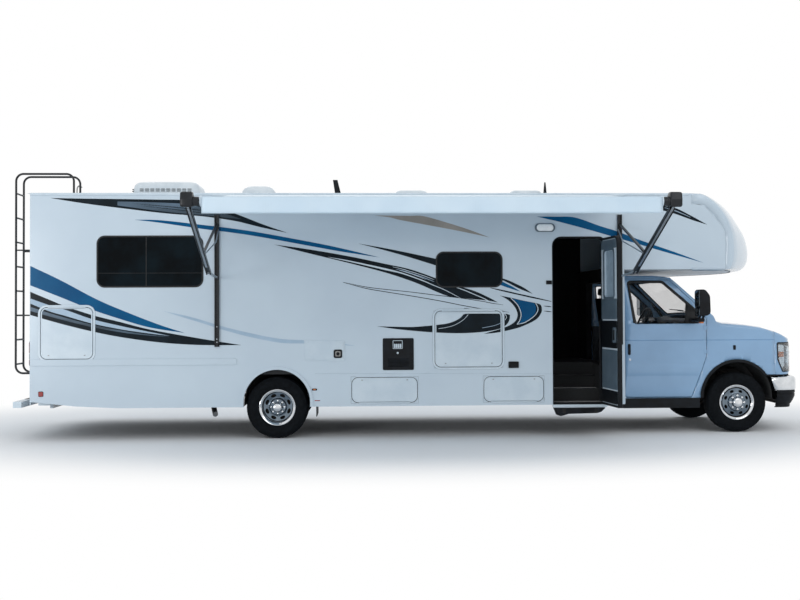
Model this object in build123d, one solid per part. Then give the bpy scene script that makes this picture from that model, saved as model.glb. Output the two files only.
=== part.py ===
from build123d import *
import math
import os

os.makedirs("parts", exist_ok=True)

# A class C motorhome on a cutaway van chassis with twin rear wheels.
# Millimetres. +X points forward, +Y to the left (driver) side, +Z up. The origin lies
# on the ground, on the centreline, below the rear axle.

# ---------------------------------------------------------------- driving dimensions

# Chassis and wheels
wheelbase = 5720
tyre_radius = 372
tyre_width = 223
tyre_wall = 14
rim_radius = 203
rim_flange = 16
rim_half_width = 76
rim_wall = 8
front_track_half = 881.5
rear_track_half = 983
twin_half_spacing = 127
hub_radius = 66
kingpin_y = 760
kingpin_radius = 18
rail_centre_y = 425
rail_width = 70
rail_height = 200
rail_wall = 7
floor_gap = 15
engine_length = 880
engine_front_ahead = 300
engine_front_x = wheelbase + engine_front_ahead
engine_rear_x = engine_front_x - engine_length
engine_half = 285
running_gap = 0.3
panel_gap = 6

# House
body_half = 1270
wall = 50
rear_x = -2935
rear_bulge = 105
cab_rear_to_axle = 1490
house_front_x = wheelbase - cab_rear_to_axle
overcab_seam_ahead = 843
overcab_seam_x = house_front_x + overcab_seam_ahead
roof_edge_z = 2960
roof_crown = 95
roof_thickness = 60
floor_top_z = 850
floor_thickness = 75
skirt_z = 385
skirt_tail_rise = 83
skirt_tail_x = -2400
arch_radius = 400
arch_flare = 38
flare_proud = 14

# Overcab nose: how far the centre and the sides reach forward, and the underside
nose_depth = 1082
nose_side_depth = 552
nose_x = overcab_seam_x + nose_depth
nose_side_x = overcab_seam_x + nose_side_depth
overcab_z = 2030

# Cab
cab_half = 1000
cab_wall = 60
cab_floor_z = 815
cab_floor_thickness = 40
cab_roof_z = 1965
cowl_to_axle = 290
cowl_x = wheelbase - cowl_to_axle
cowl_z = 1454
pillar_to_axle = 325
hinge_pillar_x = wheelbase - pillar_to_axle
front_arch_radius = 460
front_arch_z = 450
fender_ahead = 480
face_ahead = 795
fender_front_x = wheelbase + fender_ahead
face_x = wheelbase + face_ahead
bumper_reach = 75
bumper_top_z = 709
bumper_height = 194
bumper_bottom_z = 300
face_bottom_z = 715

# Openings in the right-hand wall: left, right, bottom, top
entry_to_front = 246
entry_width = 627
entry_front_x = house_front_x - entry_to_front
entry_opening = (entry_front_x - entry_width, entry_front_x, 389, 2411)
window_frame = 26
frame_proud = 8
glass = 6
door_skin = 28
locker_hinge_radius = 6

# Awning
awning_length = 4638
awning_to_front = 177
awning_front_x = house_front_x - awning_to_front
awning_rear_x = awning_front_x - awning_length
awning_reach = 2260
roller_radius = 45
roller_z = 2625
valance = 170
fabric = 4


# ------------------------------------------------------------------- shape helpers

def block(x, y, z):
    """Box between pairs of coordinates."""
    box = Box(abs(x[1] - x[0]), abs(y[1] - y[0]), abs(z[1] - z[0]))
    return Pos(sum(x) / 2, sum(y) / 2, sum(z) / 2) * box


def side_plate(points, y0, y1):
    """Plate whose outline lies in the XZ plane, reaching from y0 to y1."""
    near, far = min(y0, y1), max(y0, y1)
    plane = Plane(origin=(0, far, 0), x_dir=(1, 0, 0), z_dir=(0, -1, 0))
    return extrude(plane * make_face(Polyline(*points, close=True)), amount=far - near)


def cross_plate(points, x0, x1):
    """Plate whose outline lies in the YZ plane, reaching from x0 to x1."""
    plane = Plane(origin=(x0, 0, 0), x_dir=(0, 1, 0), z_dir=(1, 0, 0))
    return extrude(plane * make_face(Polyline(*points, close=True)), amount=x1 - x0)


def plan_plate(curve, z0, z1):
    """Plate whose closed outline lies in the XY plane, reaching from z0 to z1."""
    return extrude(Pos(0, 0, z0) * make_face(curve), amount=z1 - z0)


def rod(start, end, radius):
    """Round bar between two points."""
    axis = Vector(*end) - Vector(*start)
    bar = Cylinder(radius, axis.length, align=(Align.CENTER, Align.CENTER, Align.MIN))
    return Plane(origin=start, z_dir=axis) * bar


def flat_bar(start, end, across, depth):
    """Bar of rectangular section between two points, across along X."""
    axis = Vector(*end) - Vector(*start)
    bar = Box(across, depth, axis.length, align=(Align.CENTER, Align.CENTER, Align.MIN))
    return Plane(origin=start, x_dir=(1, 0, 0), z_dir=axis) * bar


def tube(points, radius, bend):
    """Round tube bent along a chain of points."""
    path = FilletPolyline(*points, radius=bend)
    section = Plane(origin=path @ 0, z_dir=path % 0) * Circle(radius)
    return sweep(section, path=path)


def cross_pin(x, z, radius, y0, y1):
    """Cylinder along Y."""
    return rod((x, y0, z), (x, y1, z), radius)


def spun(points):
    """Solid of revolution about the Y axis from (y, radius) points."""
    outline = [(0, y, r) for y, r in points]
    return revolve(make_face(Polyline(*outline, close=True)), axis=Axis.Y)


def fuse(pieces):
    """One solid from several."""
    return pieces[0].fuse(*pieces[1:]) if len(pieces) > 1 else pieces[0]


def less(body, tools):
    """The body with the tools cut away."""
    return body.cut(*tools)


def to_left(piece):
    """The same piece on the other side of the vehicle."""
    return mirror(piece, about=Plane.XZ)


def save(name, pieces):
    """Write one sub-part."""
    solids = [solid for piece in pieces for solid in piece.solids()]
    shape = solids[0] if len(solids) == 1 else Compound(children=solids)
    shape.label = name
    export_step(shape, f"parts/{name}.step")


# --------------------------------------------------------------------------- wheels

def tyre():
    """Tyre ring about Y, centred on the origin, open towards the rim."""
    half = tyre_width / 2
    bead = rim_half_width
    tread = half * 0.80
    belly = (rim_radius + tyre_radius) / 2
    outer = [
        (-bead, rim_radius + running_gap), (-bead, rim_radius + rim_flange + 6),
        (-half, belly), (-half + 8, tyre_radius - 34), (-tread, tyre_radius),
        (tread, tyre_radius), (half - 8, tyre_radius - 34), (half, belly),
        (bead, rim_radius + rim_flange + 6), (bead, rim_radius + running_gap),
    ]
    inner = [
        (bead - tyre_wall, rim_radius + running_gap), (bead - tyre_wall, rim_radius + 24),
        (half - tyre_wall, belly), (half - 8 - tyre_wall, tyre_radius - 42),
        (-half + 8 + tyre_wall, tyre_radius - 42), (-half + tyre_wall, belly),
        (-bead + tyre_wall, rim_radius + 24), (-bead + tyre_wall, rim_radius + running_gap),
    ]
    return spun(outer + inner)


def hand_holes(count, pitch_radius, hole_radius, y0, y1):
    """Ventilation holes round a wheel disc."""
    holes = []
    for index in range(count):
        angle = 2 * math.pi * (index + 0.5) / count
        x, z = pitch_radius * math.cos(angle), pitch_radius * math.sin(angle)
        holes.append(rod((x, y0, z), (x, y1, z), hole_radius))
    return holes


hub_back = 30
hub_nose = 148
disc_radius = 150


def front_wheel():
    """Left-hand front wheel about Y: barrel, dished disc and hub."""
    flange = rim_radius + rim_flange
    inside = rim_radius - rim_wall
    lip = rim_half_width + 8
    profile = [
        (-lip, flange), (-rim_half_width, flange), (-rim_half_width, rim_radius),
        (rim_half_width, rim_radius), (rim_half_width, flange), (lip, flange),
        (lip, inside), (66, inside - 3), (52, disc_radius), (90, 105), (96, hub_radius + 6),
        (hub_nose - 13, hub_radius), (hub_nose - 2, 40), (hub_nose, 0), (-hub_back, 0),
        (-hub_back, hub_radius - 4), (84, hub_radius - 4), (79, 100), (42, disc_radius),
        (44, inside - 1), (-lip, inside),
    ]
    return less(spun(profile), hand_holes(8, 158, 19, 20, 80))


def rear_wheels():
    """Left-hand twin wheels about Y, centred between the two tyres."""
    flange = rim_radius + rim_flange
    inside = rim_radius - rim_wall
    near = twin_half_spacing - rim_half_width
    far = twin_half_spacing + rim_half_width
    lip = 8
    outboard = [
        (far + lip, flange), (far, flange), (far, rim_radius), (near, rim_radius),
        (near, flange), (near - lip, flange), (near - lip, inside + 2), (8, disc_radius),
    ]
    inboard = [(-y, r) for y, r in reversed(outboard)]
    hollow = [
        (-far - lip, inside), (-60, inside), (-20, disc_radius - 5), (-20, hub_radius + 14),
        (-60, hub_radius + 9), (-60, 0), (hub_nose, 0), (hub_nose, 52),
        (hub_nose - 10, hub_radius), (20, hub_radius + 14), (20, disc_radius - 5),
        (60, inside), (far + lip, inside),
    ]
    return less(spun(outboard + inboard + hollow), hand_holes(8, 122, 24, -40, 40))


wheel_z = tyre_radius
front_wheel_left = Pos(wheelbase, front_track_half, wheel_z) * front_wheel()
front_tyre_left = Pos(wheelbase, front_track_half, wheel_z) * tyre()
rear_wheels_left = Pos(0, rear_track_half, wheel_z) * rear_wheels()
rear_tyres_left = [
    Pos(0, rear_track_half - twin_half_spacing, wheel_z) * tyre(),
    Pos(0, rear_track_half + twin_half_spacing, wheel_z) * tyre(),
]
save("wheel_front_left", [front_wheel_left])
save("wheel_front_right", [to_left(front_wheel_left)])
save("tyre_front_left", [front_tyre_left])
save("tyre_front_right", [to_left(front_tyre_left)])
save("wheels_rear_left", [rear_wheels_left])
save("wheels_rear_right", [to_left(rear_wheels_left)])
save("tyres_rear_left", rear_tyres_left)
save("tyres_rear_right", [to_left(piece) for piece in rear_tyres_left])

# -------------------------------------------------------------------------- chassis

rail_top = floor_top_z - floor_thickness - floor_gap
rail_bottom = rail_top - rail_height
rail_inner_y = rail_centre_y - rail_width / 2
rail_outer_y = rail_centre_y + rail_width / 2
rail_front_ahead = 680
rail_front_x = wheelbase + rail_front_ahead
rail_rear_x = rear_x + wall


def frame_rails():
    """Ladder frame: two channel rails, their cross tubes and the floor packers."""
    pieces = []
    for side in (-1, 1):
        rail = block((rail_rear_x, rail_front_x), (side * rail_inner_y, side * rail_outer_y),
                     (rail_bottom, rail_top))
        web = side * (rail_outer_y - rail_wall)
        hollow = block((rail_rear_x - 1, rail_front_x + 1), (side * (rail_inner_y - 1), web),
                       (rail_bottom + rail_wall, rail_top - rail_wall))
        pieces.append(less(rail, [hollow]))
        for x in (rail_rear_x + 60, -1200, 900, 2600, house_front_x - 120):
            pieces.append(block((x - 60, x + 60), (side * rail_inner_y, side * rail_outer_y),
                                (rail_top, rail_top + floor_gap)))
    mid_z = (rail_bottom + rail_top) / 2
    for x in (rail_rear_x + 120, -1300, 1100, 0.47 * wheelbase, 0.75 * wheelbase, rail_front_x - 80):
        web = rail_outer_y - rail_wall
        pieces.append(block((x - 35, x + 35), (-web, web), (mid_z - 40, mid_z + 40)))
    return fuse(pieces)


boss_radius = 32
boss_half = 42
beam_half = 40
yoke_gap = 4
yoke_thickness = 30
knuckle_web = 25
coil_y = 520
coil_radius = 50


def front_axle():
    """Axle beam with kingpin bosses, kingpins and the springs that carry the frame."""
    neck_y = kingpin_y - boss_radius - 12
    pieces = [block((wheelbase - beam_half, wheelbase + beam_half), (-neck_y, neck_y),
                    (wheel_z - beam_half, wheel_z + beam_half - 8))]
    pin_reach = boss_half + yoke_gap + yoke_thickness
    for side in (-1, 1):
        y = side * kingpin_y
        pieces.append(block((wheelbase - 20, wheelbase + 20), (side * neck_y, y),
                            (wheel_z - 25, wheel_z + 25)))
        pieces.append(rod((wheelbase, y, wheel_z - boss_half),
                          (wheelbase, y, wheel_z + boss_half), boss_radius))
        pieces.append(rod((wheelbase, y, wheel_z - pin_reach),
                          (wheelbase, y, wheel_z + pin_reach), kingpin_radius))
        pieces.append(rod((wheelbase, side * coil_y, wheel_z),
                          (wheelbase, side * coil_y, rail_top - 40), coil_radius))
        pieces.append(block((wheelbase - 60, wheelbase + 60),
                            (side * rail_outer_y, side * (coil_y + coil_radius)),
                            (rail_top - 60, rail_top - 20)))
    return fuse(pieces)


def knuckle_left():
    """Steering knuckle: yoke round the kingpin, and the spindle that carries the hub."""
    web_y = kingpin_y + boss_radius + 8
    hub_y = front_track_half - hub_back
    arms = []
    for side in (-1, 1):
        z0 = wheel_z + side * (boss_half + yoke_gap)
        z1 = z0 + side * yoke_thickness
        arms.append(block((wheelbase - 38, wheelbase + 38),
                          (kingpin_y - 34, web_y + knuckle_web), (z0, z1)))
    reach = boss_half + yoke_gap + yoke_thickness
    arms.append(block((wheelbase - 38, wheelbase + 38), (web_y, web_y + knuckle_web),
                      (wheel_z - reach, wheel_z + reach)))
    arms.append(rod((wheelbase, web_y + knuckle_web, wheel_z), (wheelbase, hub_y - running_gap, wheel_z),
                    30))
    bore = rod((wheelbase, kingpin_y, wheel_z - 200), (wheelbase, kingpin_y, wheel_z + 200),
               kingpin_radius + running_gap)
    return less(fuse(arms), [bore])


axle_tube_radius = 60
drum_radius = 160
spring_y = 560
spring_half_width = 38
spring_half_length = 720


def rear_axle():
    """Live axle with its drums and leaf springs, the spring hangers and the propshaft."""
    hub_y = rear_track_half - 60 - running_gap
    pieces = [rod((0, -hub_y, wheel_z), (0, hub_y, wheel_z), axle_tube_radius)]
    pieces.append(Pos(0, 0, wheel_z) * Sphere(150))
    pieces.append(rod((0, 0, wheel_z), (engine_rear_x - 6, 0, rail_bottom + 40), 45))
    for side in (-1, 1):
        drum = rear_track_half - twin_half_spacing
        pieces.append(rod((0, side * (drum - 90), wheel_z), (0, side * (drum + 55), wheel_z),
                          drum_radius))
        seat = wheel_z + axle_tube_radius - 6
        leaf = [
            (-spring_half_length, seat + 105), (-spring_half_length, seat + 85),
            (-spring_half_length / 2, seat + 18), (-110, seat), (110, seat),
            (spring_half_length / 2, seat + 18), (spring_half_length, seat + 85),
            (spring_half_length, seat + 105), (spring_half_length / 2, seat + 58),
            (90, seat + 66), (-90, seat + 66), (-spring_half_length / 2, seat + 58),
        ]
        inner, outer = spring_y - spring_half_width, spring_y + spring_half_width
        pieces.append(side_plate(leaf, side * inner, side * outer))
        for end in (-1, 1):
            x = end * spring_half_length
            pieces.append(block((x - 45, x + 45), (side * rail_outer_y, side * outer),
                                (seat + 80, rail_top - 30)))
    return fuse(pieces)


def fuel_tank():
    """Fuel tank slung between the rails behind the rear axle."""
    tank = block((-2250, -1420), (-rail_inner_y + 25, rail_inner_y - 25),
                 (rail_bottom - 110, rail_top - 40))
    straps = []
    for x in (-2150, -1520):
        reach = rail_outer_y - rail_wall
        straps.append(block((x - 20, x + 20), (-reach, reach), (rail_top - 60, rail_top - 30)))
    return fuse([tank] + straps)


def exhaust():
    """Exhaust pipe from the engine to the right-hand side behind the rear wheel."""
    y = -240
    pipe_z = rail_bottom - 40
    over_axle = pipe_z + 130
    pipe = tube([(engine_rear_x - running_gap, y, pipe_z), (900, y, pipe_z), (400, -330, over_axle),
                 (-450, -330, over_axle), (-780, -330, pipe_z - 30), (-860, -700, pipe_z - 50),
                 (-740, -body_half + 35, 300)], 32, 70)
    muffler = rod((1500, y, pipe_z), (2300, y, pipe_z), 95)
    hangers = []
    for x in (1600, 3600):
        hangers.append(block((x - 12, x + 12), (-rail_inner_y, y), (rail_bottom - 50, rail_bottom + 6)))
    return fuse([pipe, muffler] + hangers)


save("frame_rails", [frame_rails()])
save("front_axle", [front_axle()])
save("knuckle_left", [knuckle_left()])
save("knuckle_right", [to_left(knuckle_left())])
save("rear_axle", [rear_axle()])
save("fuel_tank", [fuel_tank()])
save("exhaust", [exhaust()])

# ---------------------------------------------------------------------------- house

inner_half = body_half - wall
floor_bottom_z = floor_top_z - floor_thickness
arch_z = wheel_z + 61
side_front_ahead = 412
front_underside_x = overcab_seam_x + side_front_ahead

# Side wall outline from the rear bottom corner round to the overcab
side_outline = [
    (rear_x, skirt_z + skirt_tail_rise), (skirt_tail_x, skirt_z + 25), (-1900, skirt_z),
    (house_front_x, skirt_z), (house_front_x, overcab_z), (front_underside_x, overcab_z),
    (front_underside_x + 5, 2461), (front_underside_x - 34, 2556),
    (front_underside_x - 145, 2698), (front_underside_x - 256, 2815),
    (overcab_seam_x, 2831), (overcab_seam_x, roof_edge_z), (rear_x, roof_edge_z),
]

# Windows and doors in a side wall: rear, front, bottom, top
right_windows = {
    "bedroom": (-2143, -882, 1832, 2447),
    "dinette": (house_front_x - 2302, house_front_x - 1496, 1819, 2247),
}
left_windows = {
    "bedroom": (-2143, -882, 1832, 2447),
    "kitchen": (560, 1360, 1819, 2247),
    "sofa": (house_front_x - 2180, house_front_x - 970, 1700, 2300),
}
# Locker doors: the same four values, then the hinged edge
right_lockers = {
    "locker_door_rear_right": (-2813, -2187, 971, 1596, "top"),
    "locker_door_dinette": (house_front_x - 2325, house_front_x - 1498, 847, 1534, "top"),
    "skirt_door_middle_right": (896, 1699, 423, 736, "bottom"),
    "skirt_door_front_right": (house_front_x - 1732, house_front_x - 994, 423, 736, "bottom"),
}
left_lockers = {
    "locker_door_rear_left": (-2813, -2187, 971, 1596, "top"),
    "skirt_door_middle_left": (896, 1699, 423, 736, "bottom"),
}
service_panels = {
    "service": (house_front_x - 3896, house_front_x - 3413, 937, 1179),
    "furnace": (house_front_x - 2954, house_front_x - 2579, 819, 1204),
    "outlet": (house_front_x - 1427, house_front_x - 1303, 835, 914),
}


def grown(span, by):
    """An opening's four limits, larger by the same amount all round."""
    return (span[0] - by, span[1] + by, span[2] - by, span[3] + by)


def through(span, y0, y1):
    """Block through a wall for an opening."""
    return block((span[0], span[1]), (y0, y1), (span[2], span[3]))


def side_wall(windows, lockers, openings):
    """Right-hand side wall with its openings cut and a flare round the wheel arch."""
    cuts = [cross_pin(0, arch_z, arch_radius, -body_half - 40, -inner_half + 40)]
    for span in windows.values():
        cuts.append(through(span, -body_half - 1, -inner_half + 1))
    for span in lockers.values():
        cuts.append(through(grown(span, panel_gap), -body_half - 1, -inner_half + 1))
    for span in openings:
        cuts.append(through(span, -body_half - 1, -inner_half + 1))
    panel = side_plate(side_outline, -body_half, -inner_half)
    flare = cross_pin(0, arch_z, arch_radius + arch_flare, -body_half - flare_proud, -body_half + 1)
    keep = block((-arch_radius - 60, arch_radius + 60), (-body_half - 60, -inner_half),
                 (skirt_z, arch_z + arch_radius + arch_flare + 1))
    return less(panel + (flare & keep), cuts)


def rear_wall():
    """Moulded rear cap: a wall bowed in plan, with a window opening."""
    outer = ThreePointArc((rear_x, -body_half), (rear_x - rear_bulge, 0), (rear_x, body_half))
    outline = outer + Line((rear_x, body_half), (rear_x, -body_half))
    inset = wall / rear_bulge
    cap = plan_plate(outline, skirt_z + skirt_tail_rise, roof_edge_z)
    inner_arc = ThreePointArc((rear_x, -inner_half), (rear_x - rear_bulge * (1 - inset), 0),
                              (rear_x, inner_half))
    inner = inner_arc + Line((rear_x, inner_half), (rear_x, -inner_half))
    hollow = plan_plate(inner, floor_top_z, roof_edge_z - wall)
    opening = block((rear_x - 200, rear_x + 10), rear_window[:2], rear_window[2:])
    return less(cap, [hollow, opening])


rear_window = (-330, 770, 1640, 2300)


def crowned(x0, x1, inset):
    """Volume below the crowned roof section, made smaller by an inset."""
    half = body_half - inset
    top = roof_edge_z + roof_crown - inset
    arc = ThreePointArc((-half, roof_edge_z), (0, top), (half, roof_edge_z))
    face = make_face(arc + Line((half, roof_edge_z), (-half, roof_edge_z)))
    plane = Plane(origin=(x0, 0, 0), x_dir=(0, 1, 0), z_dir=(1, 0, 0))
    return extrude(plane * face, amount=x1 - x0)


def roof():
    """Roof skin: crowned on top, hollow below, from the rear cap to the overcab nose."""
    skin = crowned(rear_x - rear_bulge * 0.35, overcab_seam_x, 0)
    return less(skin, [crowned(rear_x + wall, overcab_seam_x + 1, roof_thickness)])


def nose_profile(reach, top, edge):
    """Closed XZ outline of the overcab nose for one lengthwise section."""
    run = reach - overcab_seam_x
    return [
        (overcab_seam_x, edge), (overcab_seam_x, top), (overcab_seam_x + 0.38 * run, top - 6),
        (overcab_seam_x + 0.71 * run, top - 0.20 * (top - overcab_z)),
        (overcab_seam_x + 0.92 * run, top - 0.52 * (top - overcab_z)),
        (reach, top - 0.79 * (top - overcab_z)), (reach - 25, top - 0.90 * (top - overcab_z)),
        (reach - 0.12 * run, edge),
    ]


def nose_section(y, reach, top, inset):
    """One face of the nose loft."""
    points = nose_profile(reach - inset, top - inset, overcab_z + inset)
    plane = Plane(origin=(0, y, 0), x_dir=(1, 0, 0), z_dir=(0, -1, 0))
    return plane * make_face(Polyline(*points, close=True))


def front_cap():
    """Overcab nose: a hollow moulding, deepest on the centreline, open to the rear."""
    crown_z = roof_edge_z + roof_crown
    outer = loft([
        nose_section(-body_half, nose_side_x, roof_edge_z, 0),
        nose_section(0, nose_x, crown_z, 0),
        nose_section(body_half, nose_side_x, roof_edge_z, 0),
    ])
    inner = loft([
        nose_section(-inner_half, nose_side_x, roof_edge_z, wall),
        nose_section(0, nose_x, crown_z, wall),
        nose_section(inner_half, nose_side_x, roof_edge_z, wall),
    ])
    mouth = block((overcab_seam_x - 5, overcab_seam_x + 40), (-inner_half, inner_half),
                  (overcab_z + wall, roof_edge_z - wall))
    wings = [side_plate(side_outline, side * (inner_half - 1), side * (body_half + 1))
             for side in (-1, 1)]
    return less(outer, [inner, mouth] + wings)


bed_floor_rear_x = house_front_x


def house_floor():
    """House floor with wheel housings left clear, and the overcab bed floor."""
    slab = block((rear_x + 1, house_front_x), (-inner_half, inner_half),
                 (floor_bottom_z, floor_top_z))
    stair = block((entry_opening[0], entry_opening[1]), (-inner_half - 1, -inner_half + stair_depth),
                  (floor_bottom_z - 1, floor_top_z + 1))
    return less(slab, [stair])


stair_depth = 560
step_height = 155
step_run = 240
stair_wall = 15


def entry_stairs():
    """Stepwell inside the entry door: two treads and the sides that hang from the floor."""
    rear, front = entry_opening[0], entry_opening[1]
    base = skirt_z + 5
    edge = -inner_half
    profile = [
        (edge, base), (edge, base + stair_wall), (edge + step_run - 20, base + stair_wall),
        (edge + step_run - 20, base + stair_wall + step_height),
        (edge + 2 * step_run - 20, base + stair_wall + step_height),
        (edge + 2 * step_run - 20, base + stair_wall + 2 * step_height),
        (edge + stair_depth, base + stair_wall + 2 * step_height),
        (edge + stair_depth, base + 2 * step_height),
        (edge + 2 * step_run, base + 2 * step_height), (edge + 2 * step_run, base + step_height),
        (edge + step_run, base + step_height), (edge + step_run, base),
    ]
    treads = cross_plate(profile, rear, front)
    cheeks = []
    for x0, x1 in ((rear, rear + stair_wall), (front - stair_wall, front)):
        cheeks.append(block((x0, x1), (edge, edge + stair_depth), (base, floor_top_z)))
    back = block((rear, front), (edge + stair_depth - stair_wall, edge + stair_depth),
                 (base + 2 * step_height, floor_top_z))
    return fuse([treads] + cheeks + [back])


sill_half = 337
sill_x = (entry_opening[0] + entry_opening[1]) / 2


def entry_step():
    """Step under the door: a sill board and the fold-out tread below it."""
    sill = block((sill_x - sill_half, sill_x + sill_half), (-body_half - 30, -body_half),
                 (skirt_z - 66, skirt_z))
    tread = block((sill_x - 257, sill_x + 257), (-body_half - 230, -body_half + 40),
                  (240, 258))
    legs = []
    for x in (sill_x - 240, sill_x + 240):
        legs.append(block((x - 8, x + 8), (-body_half - 120, -body_half + 60), (258, skirt_z - 66)))
        legs.append(block((x - 8, x + 8), (-body_half + 10, -inner_half), (258, skirt_z)))
    return fuse([sill, tread] + legs)


def window_ring(span, y_out, y_in):
    """Frame round a window, with a lip that lies on the wall."""
    lip = less(through(grown(span, window_frame), y_out, -body_half),
               [through(grown(span, -window_frame), y_out - 1, -body_half + 1)])
    collar = less(through(span, -body_half, y_in),
                  [through(grown(span, -window_frame), -body_half - 1, y_in + 1)])
    return lip + collar


def window_frames():
    """Frames of all the house windows."""
    frames = []
    for span in right_windows.values():
        frames.append(window_ring(span, -body_half - frame_proud, -inner_half))
    for span in left_windows.values():
        frames.append(to_left(window_ring(span, -body_half - frame_proud, -inner_half)))
    return frames


def house_glass():
    """Panes of the house windows, each set in its frame."""
    panes = []
    for span in right_windows.values():
        panes.append(through(grown(span, -window_frame), -body_half, -body_half + glass))
    for span in left_windows.values():
        pane = through(grown(span, -window_frame), -body_half, -body_half + glass)
        panes.append(to_left(pane))
    y0, y1, z0, z1 = rear_window
    panes.append(block((rear_x - 40, rear_x - 40 + glass), (y0, y1), (z0, z1)))
    return panes


def locker_door(span):
    """Locker door in its closed place, with the hinge barrel along its hinged edge."""
    rear, front, bottom, top, hinge = span
    panel = block((rear, front), (-body_half - 3, -body_half - 3 + door_skin), (bottom, top))
    z = locker_hinge_z(span)
    y = locker_hinge_y
    edge = top if hinge == "top" else bottom
    inward = -1 if hinge == "top" else 1
    barrel = rod((rear + 20, y, z), (front - 20, y, z), locker_hinge_radius)
    leaf = block((rear + 20, front - 20), (y - 1.5, -body_half - 2),
                 (z, edge + inward * 24))
    return fuse([panel, barrel, leaf])


locker_hinge_y = -body_half - locker_hinge_radius - running_gap


def locker_hinge_z(span):
    """Height of a locker door's hinge axis."""
    if span[4] == "top":
        return span[3] + panel_gap
    return span[2] - panel_gap


def service_hatches():
    """Fixed covers of the water service point and the furnace."""
    covers = []
    for span in service_panels.values():
        covers.append(through(span, -body_half - 12, -body_half))
    return covers


save("right_wall", [side_wall(right_windows, right_lockers, [entry_opening])])
save("left_wall", [to_left(side_wall(left_windows, left_lockers, []))])
save("rear_wall", [rear_wall()])
save("roof", [roof()])
save("front_cap", [front_cap()])
save("house_floor", [house_floor()])
save("entry_steps", [entry_stairs(), entry_step()])
save("window_frames", window_frames())
for name, span in right_lockers.items():
    save(name, [locker_door(span)])
for name, span in left_lockers.items():
    save(name, [to_left(locker_door(span))])
save("service_hatches", service_hatches())

bulkhead = 50
bed_floor = 50


def front_bulkhead():
    """Wall between house and cab with the walk-through, and the overcab bed floor."""
    plate = block((house_front_x - bulkhead, house_front_x), (-inner_half, inner_half),
                  (floor_top_z, overcab_z))
    lower = block((house_front_x - bulkhead, house_front_x), (-inner_half, inner_half),
                  (skirt_z + 60, floor_bottom_z))
    rails = [block((house_front_x - bulkhead - 1, house_front_x + 1),
                   (side * (rail_inner_y - 3), side * (rail_outer_y + 3)),
                   (rail_bottom - 3, floor_bottom_z + 1)) for side in (-1, 1)]
    passage = block((house_front_x - bulkhead - 1, house_front_x + 1),
                    (-passage_half, passage_half), (floor_top_z - 1, cab_roof_z - cab_wall))
    shaft = block((house_front_x - bulkhead - 1, house_front_x + 1),
                  (-rail_inner_y, rail_inner_y), (skirt_z, floor_bottom_z + 1))
    bed = block((house_front_x - bulkhead, overcab_seam_x), (-inner_half, inner_half),
                (overcab_z, overcab_z + bed_floor))
    return [less(plate, [passage]) + bed] + less(lower, rails + [shaft]).solids()


# ------------------------------------------------------------------------------ cab

passage_half = 620
cab_inner_half = cab_half - cab_wall
sill_bottom_z = 430

screen_top_x = wheelbase - 815
screen_top_z = 1940


def from_axle(points):
    """Points whose first value is counted from the front axle."""
    return [(wheelbase + x, z) for x, z in points]


# Outline of the cab body from its rear bottom corner; the house closes its rear
cab_outline = [
    (house_front_x, sill_bottom_z), (hinge_pillar_x, sill_bottom_z),
    (hinge_pillar_x, cowl_z - 10), (cowl_x, cowl_z), (screen_top_x, screen_top_z),
    (screen_top_x - 215, cab_roof_z),
    (house_front_x, cab_roof_z),
]
door_bottom_z = sill_bottom_z + 11
door_outline = from_axle([
    (-1410, door_bottom_z), (-571, door_bottom_z), (-389, 954), (-384, 1429),
    (-544, 1640), (-827, 1908), (-930, 1928), (-1410, 1928),
])
door_window = from_axle([(-1372, 1360), (-505, 1360), (-625, 1632), (-840, 1838), (-930, 1878),
                         (-1372, 1878)])
wheel_well_inner_y = rail_outer_y + 20
fender_front_z = 1262


def outset(points, amount, y):
    """Face of a closed XZ outline moved outwards, or inwards, by one amount."""
    plane = Plane(origin=(0, y, 0), x_dir=(1, 0, 0), z_dir=(0, -1, 0))
    face = make_face(Polyline(*points, close=True))
    return plane * offset(face, amount=amount, kind=Kind.INTERSECTION)


def outset_plate(points, amount, y0, y1):
    """Side plate from an outline moved outwards by one amount."""
    return extrude(outset(points, amount, max(y0, y1)), amount=abs(y1 - y0))


def windscreen_plate(half, margin, depth_out, depth_in):
    """Slab along the windscreen plane, shortened by a margin at top and bottom."""
    top, base = Vector(screen_top_x, 0, screen_top_z), Vector(cowl_x, 0, cowl_z)
    run = top - base
    middle = (top + base) * 0.5
    plane = Plane(origin=middle, x_dir=(0, 1, 0), z_dir=Vector(0, 1, 0).cross(run))
    slab = Box(2 * half, run.length - 2 * margin, depth_out + depth_in)
    return plane * Pos(0, 0, (depth_out - depth_in) / 2) * slab


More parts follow.
